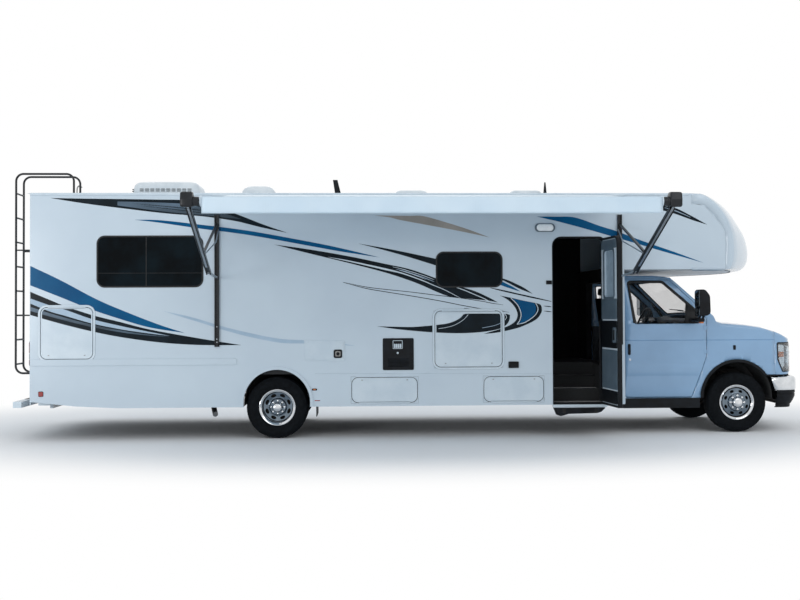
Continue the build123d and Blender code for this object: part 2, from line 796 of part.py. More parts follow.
def cab_shell():
    """Cab body: roof, pillars, cowl, floor and sills, open at the doors and at the rear."""
    outer = side_plate(cab_outline, -cab_half, cab_half)
    inside = outset_plate(cab_outline, -cab_wall, -cab_inner_half, cab_inner_half)
    keep = block((house_front_x - 1, cowl_x), (-cab_inner_half, cab_inner_half),
                 (cab_floor_z, cab_roof_z - cab_wall))
    rear = block((house_front_x - 1, house_front_x + cab_wall + 1),
                 (-cab_inner_half, cab_inner_half), (cab_floor_z, cab_roof_z - cab_wall))
    below = block((house_front_x - 1, hinge_pillar_x + 1), (-sill_inner_y, sill_inner_y),
                  (0, cab_floor_z - cab_floor_thickness))
    cuts = [inside & keep, rear, below]
    sill_front_x = door_outline[1][0]
    for side in (-1, 1):
        recess_y = side * (cab_inner_half - panel_gap)
        cuts.append(block((house_front_x - 1, sill_front_x), (recess_y, side * (cab_half + 1)),
                          (0, door_bottom_z - panel_gap)))
        cuts.append(outset_plate(door_outline, panel_gap, recess_y, side * (cab_half + 1)))
        doorway = outset_plate(door_outline, -sill_lap, side * (sill_inner_y - 1),
                               side * (cab_half + 1))
        above_floor = block((house_front_x, hinge_pillar_x),
                            (side * sill_inner_y, side * (cab_half + 1)),
                            (cab_floor_z, cab_roof_z))
        cuts.append(doorway & above_floor)
        cuts.append(cross_pin(wheelbase, front_arch_z, front_arch_radius,
                              side * wheel_well_inner_y, side * (cab_half + 1)))
    cuts.append(windscreen_plate(screen_half, screen_margin, 20, cab_wall + 60))
    cuts.append(block((engine_rear_x - 200, hinge_pillar_x + 40), (-doghouse_half, doghouse_half),
                      (cab_floor_z - cab_floor_thickness - 1, doghouse_z)))
    shelf = block((hinge_pillar_x - 1, cowl_shelf_x), (-hood_half + 5, hood_half - 5),
                  (hood_hinge_z - 45, hood_hinge_z + 5))
    return less(outer, cuts) + shelf


sill_inner_y = cab_half - 130
sill_lap = 14
screen_half = cab_half - 120
screen_margin = 36
doghouse_half = 330
doghouse_z = 1180
doghouse_wall = 12


def engine():
    """Engine and gearbox as one plain block between the rails."""
    block_ = block((engine_rear_x, engine_front_x), (-engine_half, engine_half), (470, 1110))
    mounts = block((wheelbase - 240, wheelbase - 160), (-rail_inner_y, rail_inner_y),
                   (rail_bottom + 20, rail_bottom + 90))
    return block_ + mounts


def doghouse():
    """Cover over the rear of the engine inside the cab."""
    rear = engine_rear_x - 200
    outer = block((rear, hinge_pillar_x + 20), (-doghouse_half, doghouse_half),
                  (cab_floor_z - cab_floor_thickness, doghouse_z))
    inner = block((rear + doghouse_wall, hinge_pillar_x + 21),
                  (-doghouse_half + doghouse_wall, doghouse_half - doghouse_wall),
                  (cab_floor_z - cab_floor_thickness - 1, doghouse_z - doghouse_wall))
    return less(outer, [inner])


fender_outline = [
    (hinge_pillar_x, 520), (hinge_pillar_x, 1440), (wheelbase - 208, 1368), (wheelbase + 127, 1338),
    (wheelbase + 314, 1310), (fender_front_x, fender_front_z), (fender_front_x, face_bottom_z),
    (fender_front_x - 150, face_bottom_z),
]
fender_wall = 35
hood_half = cab_half - 265
hood_thickness = 25


def fenders():
    """Front fenders: outer skin with a top shelf, cut by the wheel arch."""
    pieces = []
    inner_y = hood_half + panel_gap
    for side in (-1, 1):
        skin = side_plate(fender_outline, side * cab_half, side * inner_y)
        hollow = outset_plate(fender_outline, -fender_wall, side * (cab_half - fender_wall),
                              side * (inner_y - 1))
        low = block((hinge_pillar_x + fender_wall, fender_front_x - fender_wall),
                    (side * (cab_half - fender_wall), side * (inner_y - 1)), (500, 700))
        arch = cross_pin(wheelbase, front_arch_z, front_arch_radius, side * (inner_y - 2),
                         side * (cab_half + 1))
        pieces.append(less(skin, [hollow, low, arch]))
    return pieces


hood_top = from_axle([(-238, 1436), (-70, 1374), (70, 1366), (280, 1342), (480, 1310), (630, 1268),
                      (712, 1205)])
hood_hinge_radius = 8
cowl_shelf_x = wheelbase - 254
hood_hinge_x = cowl_shelf_x + hood_hinge_radius + running_gap
hood_hinge_z = 1395


def hood():
    """Hood panel following the fender tops, with its rear hinge barrels."""
    under = [(x - 4, z - hood_thickness) for x, z in reversed(hood_top)]
    pieces = [side_plate(hood_top + under, -hood_half, hood_half)]
    for side in (-1, 1):
        y0, y1 = side * (hood_half - 160), side * (hood_half - 90)
        pieces.append(cross_pin(hood_hinge_x, hood_hinge_z, hood_hinge_radius, y0, y1))
        pieces.append(block((hood_hinge_x, hood_top[0][0] + 16), (y0, y1),
                            (hood_hinge_z - 2, hood_top[0][1] - hood_thickness + 2)))
    return fuse(pieces)


def face_plan(reach, half, x0):
    """Plan outline of the vehicle's nose: a shallow bow with rounded corners."""
    front = ThreePointArc((reach - 75, -half + 150), (reach, 0), (reach - 75, half - 150))
    corner_right = ThreePointArc((x0, -half), (reach - 145, -half + 40), (reach - 75, -half + 150))
    corner_left = ThreePointArc((reach - 75, half - 150), (reach - 145, half - 40), (x0, half))
    back = Line((x0, half), (x0, -half))
    return corner_right + front + corner_left + back


face_top_z = 1173
face_wall = 60
grille_half = cab_half - 480
grille_z = (800, 1120)
lamp_inner_y = cab_half - 380
lamp_z = (790, 1120)


def face_solid(inset, z0, z1):
    """The nose panel's volume between two heights, moved back by an inset."""
    return plan_plate(face_plan(face_x - inset, cab_half - inset, fender_front_x), z0, z1)


def lamp_zone(side):
    """Region of the nose panel that one headlamp fills."""
    return block((fender_front_x + 30, face_x + 85),
                 (side * lamp_inner_y, side * (cab_half + 10)), lamp_z)


def front_panel():
    """Header panel between hood and bumper, open for the grille and the headlamps."""
    outer = face_solid(0, face_bottom_z, face_top_z)
    inner = face_solid(face_wall, face_bottom_z - 1, face_top_z + 1)
    cuts = [inner, block((fender_front_x, face_x + 85), (-grille_half, grille_half), grille_z)]
    for side in (-1, 1):
        cuts.append(lamp_zone(side))
    shoulder = side_plate([(fender_front_x, face_top_z - 5), (fender_front_x, fender_front_z),
                           (fender_front_x + 94, fender_front_z - 50),
                           (fender_front_x + 200, face_top_z - 5)], -cab_half, cab_half)
    shoulder = shoulder & face_solid(0, face_top_z - 5, 1300)
    gap = block((fender_front_x - 1, face_x + 85), (-hood_half - panel_gap, hood_half + panel_gap),
                (face_top_z, 1300))
    return fuse([less(outer, cuts), less(shoulder, [gap])])


def grille():
    """Grille: a frame with upright and level bars, set in the header panel."""
    body = face_solid(8, *grille_z) & block((fender_front_x, face_x + 85), (-grille_half, grille_half),
                                            grille_z)
    body = less(body, [face_solid(face_wall - 8, grille_z[0] - 1, grille_z[1] + 1)])
    cells = []
    columns, rows, rim, bar = 6, 4, 26, 14
    width = (2 * grille_half - 2 * rim - (columns - 1) * bar) / columns
    height = (grille_z[1] - grille_z[0] - 2 * rim - (rows - 1) * bar) / rows
    for column in range(columns):
        y = -grille_half + rim + column * (width + bar)
        for row in range(rows):
            z = grille_z[0] + rim + row * (height + bar)
            cells.append(block((fender_front_x, face_x + 85), (y, y + width), (z, z + height)))
    return less(body, cells)


def lamps():
    """Headlamps, roof markers, side markers and tail lamps."""
    pieces = []
    for side in (-1, 1):
        zone = lamp_zone(side)
        lamp = less(face_solid(0, *lamp_z) & zone, [face_solid(face_wall, lamp_z[0] - 1, lamp_z[1] + 1)])
        pieces.append(lamp)
        tail = block((rear_x - 62, rear_x - 12), (side * 1090, side * 1190), (900, 1180))
        pieces.append(less(tail, [rear_wall_volume()]))
        marker_z = (527, 591)
        pieces.append(block((-2833, -2773), (side * body_half, side * (body_half + 14)), marker_z))
        pieces.append(block((420, 484), (side * body_half, side * (body_half + 14)), (570, 610)))
    return pieces


def rear_wall_volume():
    """Space inside the outer face of the rear cap."""
    outer = ThreePointArc((rear_x, -body_half), (rear_x - rear_bulge, 0), (rear_x, body_half))
    outline = outer + Line((rear_x, body_half), (rear_x, -body_half))
    return plan_plate(outline, skirt_z + skirt_tail_rise, roof_edge_z)


bumper_wall = 40
valance_wall = 30


def front_bumper():
    """Chromed bumper with the dark valance below and its brackets to the frame rails."""
    reach = face_x + bumper_reach
    rear = fender_front_x - 90
    z_top, z_mid = bumper_top_z, bumper_top_z - bumper_height
    half = cab_half + 8

    def shell(inset, wall, z0, z1):
        outer = plan_plate(face_plan(reach - inset, half - inset, rear), z0, z1)
        inset += wall
        return less(outer, [plan_plate(face_plan(reach - inset, half - inset, rear), z0 - 1, z1 + 1)])

    bar = shell(0, bumper_wall, z_mid, z_top)
    skirt = shell(bumper_wall - 10, valance_wall, bumper_bottom_z, z_mid + 2)
    pieces = [bar, skirt]
    for side in (-1, 1):
        pieces.append(block((rail_front_x, reach - bumper_wall - 5),
                            (side * rail_inner_y, side * rail_outer_y),
                            (rail_bottom + 10, z_top - 10)))
    return fuse(pieces)


cab_hinge_x = wheelbase - 378
cab_hinge_radius = 6
cab_hinge_y = cab_half + cab_hinge_radius + running_gap


def cab_door_left():
    """Left cab door: a shell with a window opening, its handle and two hinge barrels."""
    panel = side_plate(door_outline, cab_inner_half, cab_half)
    opening = side_plate(door_window, cab_inner_half - 1, cab_half + 1)
    pieces = [less(panel, [opening])]
    handle_x = door_outline[0][0] + 25
    pieces.append(block((handle_x, handle_x + 57), (cab_half - 1, cab_half + 12), (1020, 1048)))
    for z in (980, 1280):
        pieces.append(rod((cab_hinge_x, cab_hinge_y, z), (cab_hinge_x, cab_hinge_y, z + 60),
                          cab_hinge_radius))
        pieces.append(block((cab_hinge_x - 40, cab_hinge_x), (cab_half, cab_hinge_y),
                            (z + 5, z + 55)))
    return fuse(pieces)


def cab_glass_left():
    """Pane of the left cab door."""
    return side_plate(door_window, cab_half - 30, cab_half - 30 + glass)


def mirror_left():
    """Door mirror: a tall housing on two arms from the door."""
    x, y = wheelbase - 550, cab_half + 9
    head = block((x - 64, x + 30), (cab_half + 240, cab_half + 440), (1445, 1780))
    arms = [flat_bar((x, y, 1325), (x - 20, cab_half + 260, 1470), 30, 14),
            flat_bar((x, y, 1240), (x - 20, cab_half + 300, 1462), 30, 14)]
    foot = block((x - 30, x + 30), (cab_half, cab_half + 14), (1215, 1345))
    return fuse([head, foot] + arms)


def windscreen():
    """Windscreen pane seated in its opening."""
    return windscreen_plate(screen_half, screen_margin, -10, 10 + glass)


board_z = (311, 429.7)


def running_boards():
    """Moulded running boards under the cab doors."""
    boards = []
    for side in (-1, 1):
        boards.append(block((house_front_x + 40, wheelbase - front_arch_radius - 20),
                            (side * sill_inner_y, side * (cab_half + 10)), board_z))
    return boards


seat_z = 1120


def seats():
    """Two cab seats, each with its base, cushion, back and headrest."""
    pieces = []
    x = house_front_x + 190
    for side in (-1, 1):
        y0, y1 = side * (cab_half - 620), side * (cab_half - 170)
        base = block((x + 60, x + 440), (side * (cab_half - 570), side * (cab_half - 220)),
                     (cab_floor_z, seat_z - 120))
        cushion = block((x, x + 500), (y0, y1), (seat_z - 120, seat_z))
        back = side_plate([(x, seat_z), (x + 120, seat_z), (x + 20, seat_z + 600),
                           (x - 80, seat_z + 600)], y0, y1)
        rest = block((x - 75, x + 5), (side * (cab_half - 500), side * (cab_half - 290)),
                     (seat_z + 600, seat_z + 740))
        pieces.append(fuse([base, cushion, back, rest]))
    return pieces


def dashboard():
    """Dashboard across the cab with the steering column and wheel on the left."""
    panel = side_plate(from_axle([(-620, 1190), (-590, 1400), (-420, 1425), (-386, 1380),
                                  (-386, 1190)]), -cab_inner_half, cab_inner_half)
    wheel_x, wheel_y, wheel_centre_z = wheelbase - 750, cab_half - 400, 1390
    centre = (wheel_x, wheel_y, wheel_centre_z)
    column = rod((wheel_x + 180, wheel_y, wheel_centre_z - 50), centre, 22)
    lean = Vector(180, 0, -80)
    ring = Plane(origin=centre, z_dir=lean) * Torus(185, 14)
    spokes = rod((wheel_x, wheel_y - 180, wheel_centre_z), (wheel_x, wheel_y + 180, wheel_centre_z), 10)
    return fuse([panel, column, ring, spokes])


save("front_bulkhead", front_bulkhead())
save("cab_shell", [cab_shell()])
save("engine", [engine()])
save("fenders", fenders())
save("hood", [hood()])
save("front_panel", [front_panel()])
save("grille", [grille()])
save("lamps", lamps())
save("front_bumper", [front_bumper()])
save("cab_door_left", [cab_door_left(), cab_glass_left()])
save("cab_door_right", [to_left(cab_door_left()), to_left(cab_glass_left())])
save("mirror_left", [mirror_left()])
save("mirror_right", [to_left(mirror_left())])
save("seats", seats())
save("dashboard", [dashboard(), doghouse()])
save("fixed_glass", house_glass() + [windscreen()])

# ----------------------------------------------------------------------- entry door

entry_gap = 8
entry_thickness = 40
entry_open = 95
entry_hinge_x = entry_opening[1] + 5
entry_hinge_y = -body_half - 8.3
entry_span = grown(entry_opening, -entry_gap)
entry_window = (entry_span[0] + 150, entry_span[1] - 150, 1290, 2120)


def opened(piece):
    """Entry door piece turned from its closed place to its open one."""
    axis = Axis((entry_hinge_x, entry_hinge_y, 0), (0, 0, 1))
    return piece.rotate(axis, entry_open)


def entry_door():
    """Entry door, standing open, with its handle and hinge barrels."""
    y0 = -body_half - 3
    panel = less(through(entry_span, y0, y0 + entry_thickness),
                 [through(entry_window, y0 - 1, y0 + entry_thickness + 1)])
    pieces = [panel]
    pieces.append(block((entry_span[0] + 30, entry_span[0] + 110), (y0 - 14, y0 + 1), (1150, 1310)))
    for z in (600, 1350, 2150):
        pieces.append(rod((entry_hinge_x, entry_hinge_y, z), (entry_hinge_x, entry_hinge_y, z + 70), 8))
        pieces.append(block((entry_hinge_x - 50, entry_hinge_x), (entry_hinge_y - 2, y0 + 1),
                            (z + 5, z + 65)))
    return opened(fuse(pieces))


def entry_glass():
    """Pane of the entry door."""
    y = -body_half + 8
    return opened(through(entry_window, y, y + glass))


# --------------------------------------------------------------------------- awning

roller_y = -body_half - awning_reach
channel_width = 56
channel_depth = 30
channel_top_z = 2612
channel_bottom_z = 1120
arm_width = 55
arm_x = (awning_rear_x - 130, awning_front_x + 124)
rail_z = roof_edge_z - 12
elbow_y = -2000
elbow_z = 1980
link_z = 1940
strut_y = -2430
strut_z = 2165


def awning_arms():
    """Awning arms: wall channel, main arm, link and strut at each end, with the roller head."""
    pieces = []
    head_y = roller_y
    for x in arm_x:
        channel = block((x - channel_width / 2, x + channel_width / 2),
                        (-body_half - channel_depth, -body_half), (channel_bottom_z, channel_top_z))
        main = flat_bar((x, elbow_y, elbow_z), (x, head_y + 30, roller_z - 20), arm_width, 40)
        link = flat_bar((x, elbow_y, elbow_z), (x, -body_half - 10, link_z), 34, 26)
        strut = flat_bar((x, strut_y, strut_z), (x, -body_half - 10, channel_top_z - 30), 26, 24)
        head = block((x - 60, x + 60), (head_y - 50, head_y + 60), (roller_z - 60, roller_z + 95))
        inward = 1 if x < 0 else -1
        stub = rod((x, head_y, roller_z), (x + inward * 124, head_y, roller_z), 18)
        pieces.append(fuse([channel, main, link, strut, head, stub]))
    return pieces


def awning_roller():
    """Roller tube with its end caps."""
    tube_ = cross_x(awning_rear_x + 14, awning_front_x - 14, roller_y, roller_z, roller_radius)
    caps = [cross_x(awning_rear_x, awning_rear_x + 14, roller_y, roller_z, roller_radius + 10),
            cross_x(awning_front_x - 14, awning_front_x, roller_y, roller_z, roller_radius + 10)]
    bore = cross_x(awning_rear_x - 1, awning_front_x + 1, roller_y, roller_z, 18 + running_gap)
    return less(fuse([tube_] + caps), [bore])


def cross_x(x0, x1, y, z, radius):
    """Cylinder along X."""
    return rod((x0, y, z), (x1, y, z), radius)


def awning_fabric():
    """Awning canopy from the wall rail to the roller, and the valance hanging there."""
    top = roller_z + roller_radius + running_gap
    edge = roller_y - roller_radius
    profile = [
        (-body_half - 12, rail_z), (-body_half - 12, rail_z - fabric),
        (roller_y, top), (roller_y, top + fabric),
    ]
    canopy = cross_plate(profile, awning_rear_x + 20, awning_front_x - 20)
    return canopy


def awning_valance():
    """Valance strip hanging outside the roller."""
    y = roller_y - roller_radius - running_gap
    top = roller_z + roller_radius
    hang = block((awning_rear_x + 20, awning_front_x - 20), (y - fabric, y), (top - valance, top))
    return hang


def awning_rail():
    """Rail along the roof edge that holds the canopy."""
    return block((awning_rear_x - 200, awning_front_x + 200), (-body_half - 12, -body_half),
                 (rail_z - 14, rail_z + 6))


# -------------------------------------------------------------------- rear and roof

ladder_y = (-900, -600)
ladder_radius = 13
ladder_pitch = 300
ladder_stand_off = 200


def rear_face_x(y):
    """Where the rear cap's outer face lies at a sideways place."""
    sag, half = rear_bulge, body_half
    radius = (half * half + sag * sag) / (2 * sag)
    return rear_x - (math.sqrt(radius * radius - y * y) - (radius - sag))


def ladder():
    """Rear ladder: two rails that turn in at the foot and over the roof, and rungs."""
    pieces = []
    stand_x = rear_face_x(ladder_y[1]) - ladder_stand_off
    foot_z, top_z = 790, 3240
    roof_x = rear_x + 420
    for y in ladder_y:
        face = rear_face_x(y)
        roof_top = roof_surface_z(y)
        pieces.append(tube([(face, y, foot_z), (stand_x, y, foot_z), (stand_x, y, top_z),
                            (roof_x, y, top_z), (roof_x, y, roof_top - 1)], ladder_radius, 90))
        for z in (1500, 2300):
            pieces.append(rod((face, y, z), (stand_x, y, z), 9))
    for index in range(8):
        z = 900 + index * ladder_pitch
        pieces.append(rod((stand_x, ladder_y[0], z), (stand_x, ladder_y[1], z), ladder_radius - 2))
    return less(fuse(pieces), [rear_wall_volume(), crowned(rear_x - 200, overcab_seam_x, 0)])


def roof_surface_z(y):
    """Height of the roof skin at a sideways place."""
    radius = (body_half ** 2 + roof_crown ** 2) / (2 * roof_crown)
    return roof_edge_z + math.sqrt(radius * radius - y * y) - (radius - roof_crown)


def on_roof(pieces):
    """Pieces cut off at the roof skin."""
    skin = crowned(rear_x - 200, overcab_seam_x, 0)
    return [less(piece, [skin]) for piece in pieces]


def roof_units():
    """Air conditioner, vents, antennas and rear tie-down on the roof."""
    base = roof_edge_z + 60
    unit = side_plate([(-1930, base), (-1930, 3155), (-1860, 3225), (-1120, 3225), (-1060, 3155),
                       (-1060, base)], -340, 340)
    dome = side_plate([(-545, base), (-545, 3130), (-500, 3190), (-140, 3190), (-92, 3130),
                       (-92, base)], -230, 230)
    cover = block((1480, 1900), (-210, 210), (base, 3130))
    front = block((3000, 3420), (-210, 210), (base, 3130))
    mast = side_plate([(690, base), (660, 3244), (720, 3244), (770, base)], -320, -290)
    aerial = rod((3440, -300, base), (3440, -300, 3220), 22)
    hook = rod((-2790, 300, base - 40), (-2790, 300, 3241), 14)
    return on_roof([unit, dome, cover, front, mast, aerial, hook])


hitch_pin_radius = 8.1
receiver_outer = 63.5
receiver_inner = 51
receiver_drop = 40
bumper_tube_bottom_z = skirt_z + 5
receiver_z = bumper_tube_bottom_z - receiver_drop


def rear_bumper():
    """Rear bumper tube on brackets, with the hitch receiver below it."""
    x = rear_x - rear_bulge - 60
    bar = block((x - 60, x + 40), (90 - body_half, body_half - 90),
                (bumper_tube_bottom_z, bumper_tube_bottom_z + 72))
    pieces = [bar]
    for side in (-1, 1):
        pieces.append(block((x + 40, rail_rear_x), (side * rail_inner_y, side * rail_outer_y),
                            (skirt_z + 20, skirt_z + 60)))
        pieces.append(block((rail_rear_x - 20, rail_rear_x), (side * rail_inner_y, side * rail_outer_y),
                            (receiver_z - 30, rail_bottom + 40)))
    half = receiver_outer / 2
    pieces.append(block((x - 100, rail_rear_x), (-half, half),
                        (receiver_z - half, receiver_z + half)))
    pieces.append(block((rail_rear_x - 40, rail_rear_x), (-rail_outer_y, rail_outer_y),
                        (receiver_z - 30, receiver_z + 30)))
    body = fuse(pieces)
    inner = receiver_inner / 2
    socket = block((x - 101, x + 120), (-inner, inner), (receiver_z - inner, receiver_z + inner))
    pin = cross_pin(x - 55, receiver_z, hitch_pin_radius, -half - 1, half + 1)
    return less(body, [socket, pin])


def mud_flaps():
    """Splash guards ahead of the rear wheels."""
    pieces = []
    for side in (-1, 1):
        pieces.append(block((470, 480), (side * (rail_outer_y + 250), side * (inner_half)),
                            (260, floor_bottom_z)))
    return pieces


save("entry_door", [entry_door(), entry_glass()])
save("awning_arms", awning_arms() + [awning_rail()])
save("awning_roller", [awning_roller()])
save("awning_fabric", [awning_fabric(), awning_valance()])
save("ladder", [ladder()])
save("roof_units", roof_units())
save("rear_bumper", [rear_bumper()])
save("boards_and_flaps", running_boards() + mud_flaps())
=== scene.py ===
from math import atan2, copysign, cos, exp, hypot, pi, radians, sin, sqrt, tan

import bmesh
import bpy
from mathutils import Matrix, Vector


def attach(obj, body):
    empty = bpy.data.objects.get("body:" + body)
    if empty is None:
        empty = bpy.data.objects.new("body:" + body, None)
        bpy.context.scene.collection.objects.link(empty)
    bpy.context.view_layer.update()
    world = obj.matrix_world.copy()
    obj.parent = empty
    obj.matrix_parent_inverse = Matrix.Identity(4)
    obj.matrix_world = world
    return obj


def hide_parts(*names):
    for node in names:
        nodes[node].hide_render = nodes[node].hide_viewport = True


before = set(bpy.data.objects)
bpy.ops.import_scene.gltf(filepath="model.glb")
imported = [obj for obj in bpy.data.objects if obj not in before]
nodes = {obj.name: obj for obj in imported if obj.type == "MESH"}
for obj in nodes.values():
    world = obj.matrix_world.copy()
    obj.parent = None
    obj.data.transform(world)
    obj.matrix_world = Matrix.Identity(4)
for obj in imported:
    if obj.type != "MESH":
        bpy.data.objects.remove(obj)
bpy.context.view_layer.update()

# Shapes below are written in millimetres and turned to metres as they are built.
# +X is forward, +Y is the driver's side, -Y is the kerb side with the awning.
MM = 0.001

# ------------------------------------------------------------------ materials


def linear(hex_colour):
    """An sRGB hex colour as linear red, green, blue and alpha."""
    levels = []
    for start in (0, 2, 4):
        level = int(hex_colour[start:start + 2], 16) / 255
        levels.append(level / 12.92 if level <= 0.04045 else ((level + 0.055) / 1.055) ** 2.4)
    return (*levels, 1.0)


def add(tree, kind, links=None, **settings):
    """Adds a node: settings are its properties, links its input values or what feeds them."""
    made = tree.nodes.new(kind)
    for key, value in settings.items():
        setattr(made, key, value)
    for key, value in (links or {}).items():
        socket = made.inputs[key]
        if isinstance(value, bpy.types.Node):
            value = value.outputs[0]
        if isinstance(value, bpy.types.NodeSocket):
            tree.links.new(value, socket)
        else:
            socket.default_value = value
    return made


def mixed(tree, factor, first, second, blend="MIX"):
    """Colour output of a mix of two colours."""
    return add(tree, "ShaderNodeMix", {0: factor, 6: first, 7: second},
               data_type="RGBA", blend_type=blend).outputs[2]


def bare_material(name):
    """A new material and its emptied node tree."""
    material = bpy.data.materials.new(name)
    material.use_nodes = True
    material.node_tree.nodes.clear()
    return material, material.node_tree


# Short words for the principled shader's inputs.
INPUTS = {"specular": "Specular IOR Level", "ior": "IOR", "metal": "Metallic", "alpha": "Alpha",
          "clear": "Coat Weight", "clear_rough": "Coat Roughness", "sheen": "Sheen Weight",
          "through": "Transmission Weight", "milk": "Subsurface Weight",
          "milk_reach": "Subsurface Radius"}


def finish(name, low, high, patch, rough, grain, relief, worn=None, stretch=(1, 1, 1), **shader):
    """A surface with two close colours in patches, and a grain in its roughness and relief.

    patch and grain are sizes in millimetres, relief is the height of the grain, and worn is
    a colour and the width in millimetres of the rubbed edges. shader takes words of INPUTS.
    """
    material, tree = bare_material(name)
    place = add(tree, "ShaderNodeTexCoord").outputs["Object"]
    place = add(tree, "ShaderNodeMapping", {"Vector": place, "Scale": stretch}).outputs[0]
    cloud = add(tree, "ShaderNodeTexNoise", {
        "Vector": place, "Scale": 1 / (patch * MM), "Detail": 3.0, "Roughness": 0.55})
    spread = add(tree, "ShaderNodeMapRange", {
        "Value": cloud.outputs["Fac"], "From Min": 0.35, "From Max": 0.65})
    colour = mixed(tree, spread.outputs[0], linear(low), linear(high))
    speck = add(tree, "ShaderNodeTexNoise", {
        "Vector": place, "Scale": 1 / (grain * MM), "Detail": 2.0})
    level = add(tree, "ShaderNodeMapRange", {
        "Value": speck.outputs["Fac"], "From Min": 0.3, "From Max": 0.7,
        "To Min": rough[0], "To Max": rough[1]})
    bump = add(tree, "ShaderNodeBump", {
        "Height": speck.outputs["Fac"], "Distance": relief * MM, "Strength": 1.0})
    if worn:
        edge_colour, width = worn
        soft = add(tree, "ShaderNodeBevel", {"Radius": width * MM}, samples=4)
        flat = add(tree, "ShaderNodeNewGeometry").outputs["Normal"]
        turn = add(tree, "ShaderNodeVectorMath", {0: soft, 1: flat}, operation="DOT_PRODUCT")
        rub = add(tree, "ShaderNodeMapRange", {
            "Value": turn.outputs["Value"], "From Min": 0.97, "From Max": 0.8,
            "To Max": 0.7})
        patchy = add(tree, "ShaderNodeMath", {0: rub, 1: spread}, operation="MULTIPLY")
        colour = mixed(tree, patchy.outputs[0], colour, linear(edge_colour))
    body = add(tree, "ShaderNodeBsdfPrincipled", {
        "Base Color": colour, "Roughness": level, "Normal": bump,
        **{INPUTS[word]: value for word, value in shader.items()}})
    add(tree, "ShaderNodeOutputMaterial", {"Surface": body})
    return material


# Sprayed polyester gelcoat over laminated panels: glossy, with a faint orange peel.
gelcoat = finish("sprayed_gelcoat", "B5C4D0", "BAC9D4", 900, (0.16, 0.26), 9, 0.03, clear=0.3,
                 clear_rough=0.08, ior=1.5)
# Baked automotive enamel on pressed steel: deeper gloss than the house, over a paint that reads as
# a cooler white in the lamps' light. Its blue-grey colour and depth are painted reflection of the
# blue sky and the darker ground.
enamel = finish("baked_enamel", "7A9DBE", "80A4C6", 500, (0.12, 0.2), 4, 0.01, clear=0.6,
                clear_rough=0.05)
# Vacuum-formed white ABS on hatches and roof shrouds: satin, with slight mould grain.
white_abs = finish("formed_white_abs", "C3CDD4", "D2DADF", 160, (0.35, 0.5), 1.5, 0.03)
# Pressed white aluminium door skins and frames, powder coated: fine pebbled gloss.
white_powder = finish("powder_coated_aluminium", "B9C8D3", "C4D1DA", 240, (0.24, 0.36), 2.5, 0.04)
# Injection-moulded black polypropylene trim, greyed a little along its edges.
black_trim = finish("moulded_black_polypropylene", "06090D", "0D1218", 90, (0.42, 0.62), 1.8, 0.08,
                    worn=("2E353C", 3), specular=0.2)
# Black extruded aluminium of the awning hardware: anodised, with rubbed bright edges.
black_anodised = finish("black_anodised_extrusion", "080D13", "10161D", 300, (0.3, 0.42), 2, 0.02,
                        worn=("4C555E", 2), stretch=(1, 1, 0.2), metal=0.3)
# EPDM rubber of seals and gaskets: dull, almost black, faintly dusty.
rubber = finish("epdm_seal_rubber", "0C0E10", "1A1C1E", 60, (0.6, 0.8), 1.2, 0.05)
# Vulcanised tyre rubber: matt charcoal with dust in the grooves.
tyre_rubber = finish("vulcanised_tyre_rubber", "05080C", "0E1216", 45, (0.72, 0.9), 2.2, 0.15,
                     worn=("1C2126", 4), specular=0.12)
# Chromium plate on steel: bright mirror with light haze.
chrome = finish("chromium_plate", "C8CCD0", "D8DBDE", 120, (0.04, 0.1), 3, 0.01, metal=1.0)
# Polished stainless of the wheel dishes, given a dark base colour as painted dark reflection, so it
# stands darker than the bright nuts.
dish_steel = finish("stainless_dish_painted_dark_reflection", "5C6873", "76828D", 160, (0.08, 0.16), 6, 0.02,
                    stretch=(1, 0.3, 1), metal=1.0)
# Mill-finished aluminium tube and extrusion, drawn lengthwise.
aluminium = finish("drawn_aluminium", "9AA2A9", "B2B9BF", 200, (0.26, 0.4), 1.5, 0.02,
                   stretch=(1, 1, 0.15), metal=1.0)
# Chassis steel under black wax: dull, with rust-brown showing at the edges.
chassis = finish("waxed_chassis_steel", "101214", "1D1D1D", 110, (0.55, 0.8), 3, 0.15,
                 worn=("4B3A2E", 5), metal=0.3)
# Sand-cast iron of axles and hubs: coarse skin with brown bloom.
cast = finish("sand_cast_iron", "1E1E1F", "33302D", 70, (0.6, 0.85), 4, 0.4, worn=("5A4A3C", 4),
              metal=0.5)
# Hot-dip aluminised steel of the exhaust and small fittings: dull silver, brighter at edges.
steel = finish("aluminised_steel", "6E7072", "8A8A88", 130, (0.35, 0.55), 3, 0.06,
               worn=("B0B0AE", 3), metal=1.0)
# Needle-punched carpet on stair risers and cab floor: almost black, with a soft nap.
carpet = finish("needle_punched_carpet", "101214", "1A1C1D", 12, (0.85, 1.0), 2.5, 0.9, sheen=0.4)
# Soft moulded grey vinyl of the dashboard, seats and door trims: leathery grain, low sheen.
grey_vinyl = finish("skinned_grey_vinyl", "3D444B", "4B535A", 60, (0.5, 0.66), 1.6, 0.12)
# Smooth laminate of the door lining and locker seams: mid grey in the open, even satin.
grey_laminate = finish("pale_grey_laminate", "4A5A66", "576773", 220, (0.3, 0.42), 2.5, 0.03)
# Cast vinyl graphics film, laid on gelcoat: even colour under a thin gloss. Each row holds
# two colours, the size of their patches, the lower roughness and the specular level.
vinyl_black, vinyl_white, vinyl_blue, vinyl_taupe, vinyl_pale = (
    finish(f"cast_vinyl_{name}", low, high, patch, (rough, rough + 0.1), 3, 0.01,
           specular=specular)
    for name, low, high, patch, rough, specular in (
        ("black", "0B151B", "121E26", 300, 0.2, 0.1),
        ("white", "C2CFD8", "CAD6DF", 300, 0.22, 0.2),
        ("blue", "004873", "02537E", 400, 0.2, 0.1),
        ("taupe", "8C8882", "98938D", 300, 0.22, 0.2),
        ("pale_blue", "98AEC1", "A2B7C9", 300, 0.22, 0.2)))
